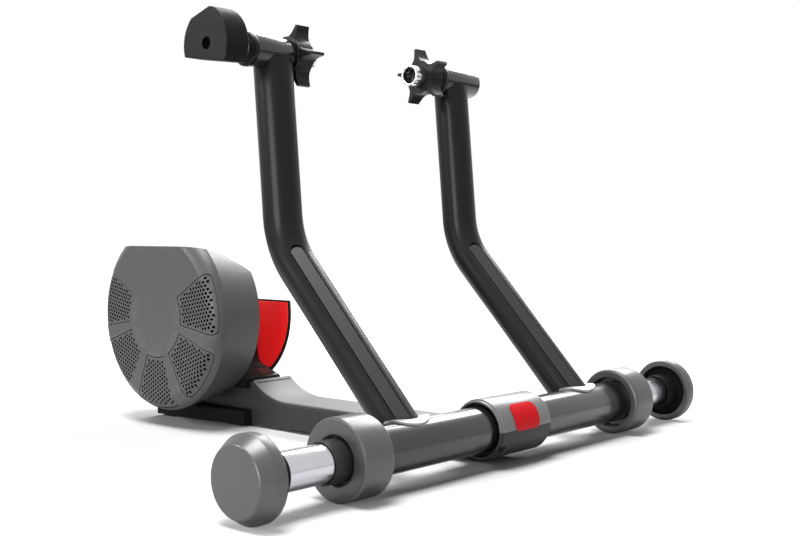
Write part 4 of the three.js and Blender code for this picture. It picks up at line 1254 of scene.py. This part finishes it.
class TRAINER_OT_drum(bpy.types.Operator):
    """Model the drum's cover and its five pierced vents"""

    bl_idname = "trainer.drum"
    bl_label = "Drum"

    def execute(self, context):
        sizes = context.scene.trainer_sizes
        cover = drum_solid("drum_cover_moulding", 0, -DRUM_RIM)
        carved(cover, "INTERSECT", under_top("top", 0))
        bevelled(cover, 1.6, 3, 28)
        inside = drum_solid("drum_inside", WALL, -DRUM_RIM + 6)
        carved(inside, "INTERSECT", under_top("inner_top", WALL))
        carved(cover, "DIFFERENCE", inside)
        for index in range(5):
            window = rolled(vent_body("window", 0), (index - 2) * VENT_PITCH, ROLLER)
            carved(cover, "DIFFERENCE", window)
        bevelled(cover, 0.7, 2, 28, 9)
        dress(cover, "drum", "base", "grey_moulding", "drum_cover")
        self.vents(sizes)
        return {"FINISHED"}

    def vents(self, sizes):
        """One grille, pierced on a staggered pitch, and its four copies."""
        sink, inner, edge = 0.5, 44, VENT_SIDE + math.radians(4)
        profile = [(-DRUM_FACE + sink, inner), *fillet(sink)]
        profile += [*fillet(WALL)[::-1], (-DRUM_FACE + WALL, inner)]
        places = [
            ROLLER + Vector((along, radius * math.sin(-edge), -radius * math.cos(edge))) * MM
            for along, radius in profile
        ]
        grille = swept("vent_grille_pierced_3", places, 32, 2 * edge, ROLLER)
        carved(grille, "INTERSECT", vent_body("fence", 0.9))
        carved(grille, "DIFFERENCE", self.holes(sizes))
        smoothed(grille, 9)
        for index in (0, 1, 3, 4):
            copy = copied(grille, f"vent_grille_pierced_{index + 1}")
            rolled(copy, (index - 2) * VENT_PITCH, ROLLER)
            dress(copy, "vent", "base", "grey_moulding", f"vent_grille_{index + 1}")
        dress(grille, "vent", "base", "grey_moulding", "vent_grille_3")

    def holes(self, sizes):
        """Short eight-sided pins, staggered, in one body."""
        pitch, nearest, furthest, margin = sizes.hole_pitch / MM, 52.5, 106.5, 4.1
        places = []
        for row in range(-12, 13):
            across = row * pitch * math.sqrt(3) / 2
            for step in range(8, 24):
                down = (step + row % 2 / 2) * pitch
                distance = math.hypot(across, down)
                room = VENT_SIDE - abs(math.atan2(across, down))
                if nearest <= distance <= furthest and room * distance >= margin:
                    places.append(ROLLER + Vector((-DRUM_FACE + 6, across, -down)) * MM)
        settings = {
            "vertices": 8, "radius": sizes.hole_radius, "depth": 24 * MM,
            "rotation": (0, QUARTER, 0),
        }
        pins = added(
            bpy.ops.mesh.primitive_cylinder_add, "pins", location=places[0], **settings
        )
        bpy.ops.object.mode_set(mode="EDIT")
        for place in places[1:]:
            bpy.ops.mesh.primitive_cylinder_add(location=place, **settings)
        bpy.ops.object.mode_set(mode="OBJECT")
        return pins


# Stage


class TRAINER_OT_stage(bpy.types.Operator):
    """Set the camera, the lamps, the pale floor and the white surroundings"""

    bl_idname = "trainer.stage"
    bl_label = "Stage"

    def execute(self, context):
        stage = context.scene.trainer_stage
        context.scene.view_settings.view_transform = "Standard"
        camera_data = bpy.data.cameras.new("camera")
        camera_data.lens = stage.focal
        camera_data.sensor_width = 36
        camera_data.clip_end = 100
        camera = bpy.data.objects.new("camera", camera_data)
        camera.location = stage.place
        camera.rotation_euler = (QUARTER - stage.tilt, 0, stage.heading)
        context.scene.collection.objects.link(camera)
        context.scene.camera = camera
        self.floor()
        self.world(context.scene, stage.fill)
        lamps = (
            ("left_softbox", (-2.5, -0.6, 0.42), (0, 0, 0.15), (1.2, 1.0), 1.08),
            ("top_softbox", (-0.5, -0.1, 2.3), (0, 0, 0.1), (1.1, 1.1), 2.2),
            ("rim_softbox", (-1.85, 1.17, 1.05), (-0.1, 0.1, 0.2), (0.5, 0.35), 0.45),
            ("back_softbox", (1.6, 0.6, 1.45), (0, -0.1, 0.1), (1.3, 1.1), 1.9),
        )
        for name, place, target, size, power in lamps:
            lamp = bpy.data.lights.new(name, "AREA")
            lamp.shape = "RECTANGLE"
            lamp.size, lamp.size_y = size
            lamp.energy = stage.key * power
            holder = bpy.data.objects.new(name, lamp)
            holder.location = place
            aim = Vector(target) - Vector(place)
            holder.rotation_euler = aim.to_track_quat("-Z", "Y").to_euler()
            context.scene.collection.objects.link(holder)
        return {"FINISHED"}

    def floor(self):
        """A pale floor that glows white, to the camera only, away from the trainer."""
        plane = added(
            bpy.ops.mesh.primitive_plane_add, "pale_floor", size=60, location=(0, 0, -0.4 * MM)
        )
        look = Finish("pale_floor", 0.9, specular=0.0)
        look.set("Base Color", look.tint((0.7, 0.7, 0.7), 0.99, 1.0, look.noise(3)))
        seen = look.add("LightPath", out="Is Camera Ray")
        far = look.add("VectorMath", {"operation": "LENGTH"}, {0: look.place}, "Value")
        glow = look.add("Emission", {}, {"Color": WHITE, "Strength": seen * far.ramp(0.3, 0.9)})
        both = look.add("AddShader", {}, {0: look.surface, 1: glow})
        assign(look.tree.nodes["end"].inputs["Surface"], both)
        plane.data.materials.append(look.material)

    def world(self, scene, fill):
        """White surroundings to the camera, in reflections and through clear things."""
        scene.world = bpy.data.worlds.new("surroundings")
        scene.world.use_nodes = True
        tree = scene.world.node_tree
        tree.nodes.clear()
        camera, glossy, through = (
            add_node(tree, "LightPath", out=ray)
            for ray in ("Is Camera Ray", "Is Glossy Ray", "Is Transmission Ray")
        )
        white = (camera + glossy + through) > 0.5
        sockets = {"Color": WHITE, "Strength": white * (1 - fill) + fill}
        light = add_node(tree, "Background", {}, sockets)
        add_node(tree, "OutputWorld", {}, {"Surface": light})


class TRAINER_PT_panel(bpy.types.Panel):
    """Lists the trainer's pieces and settings"""

    bl_idname = "TRAINER_PT_panel"
    bl_label = "Trainer"
    bl_space_type = "VIEW_3D"
    bl_region_type = "UI"
    bl_category = "Trainer"

    def draw(self, context):
        layout = self.layout
        for operator in steps:
            layout.operator(operator.bl_idname)
        for group in ("trainer_sizes", "trainer_colours", "trainer_stage"):
            settings = getattr(context.scene, group)
            box = layout.box()
            for name in type(settings).__annotations__:
                box.prop(settings, name)


settings = {
    "trainer_sizes": TrainerSizes,
    "trainer_colours": TrainerColours,
    "trainer_stage": TrainerStage,
}
steps = (
    TRAINER_OT_stage,
    TRAINER_OT_cross_tube,
    TRAINER_OT_legs,
    TRAINER_OT_uprights,
    TRAINER_OT_clamps,
    TRAINER_OT_collar,
    TRAINER_OT_arm,
    TRAINER_OT_unit,
    TRAINER_OT_drum,
)


def register():
    for kind in (*settings.values(), *steps, TRAINER_PT_panel):
        bpy.utils.register_class(kind)
    for name, kind in settings.items():
        setattr(bpy.types.Scene, name, PointerProperty(type=kind))


def unregister():
    for name in settings:
        delattr(bpy.types.Scene, name)
    for kind in (TRAINER_PT_panel, *reversed(steps), *settings.values()):
        bpy.utils.unregister_class(kind)


def main():
    register()
    make_finishes(bpy.context.scene.trainer_colours)
    bpy.ops.trainer.stage()
    bpy.ops.trainer.cross_tube()
    bpy.ops.trainer.legs()
    bpy.ops.trainer.uprights()
    bpy.ops.trainer.clamps()
    bpy.ops.trainer.collar()
    bpy.ops.trainer.arm()
    bpy.ops.trainer.unit()
    bpy.ops.trainer.drum()


if __name__ == "__main__":
    main()
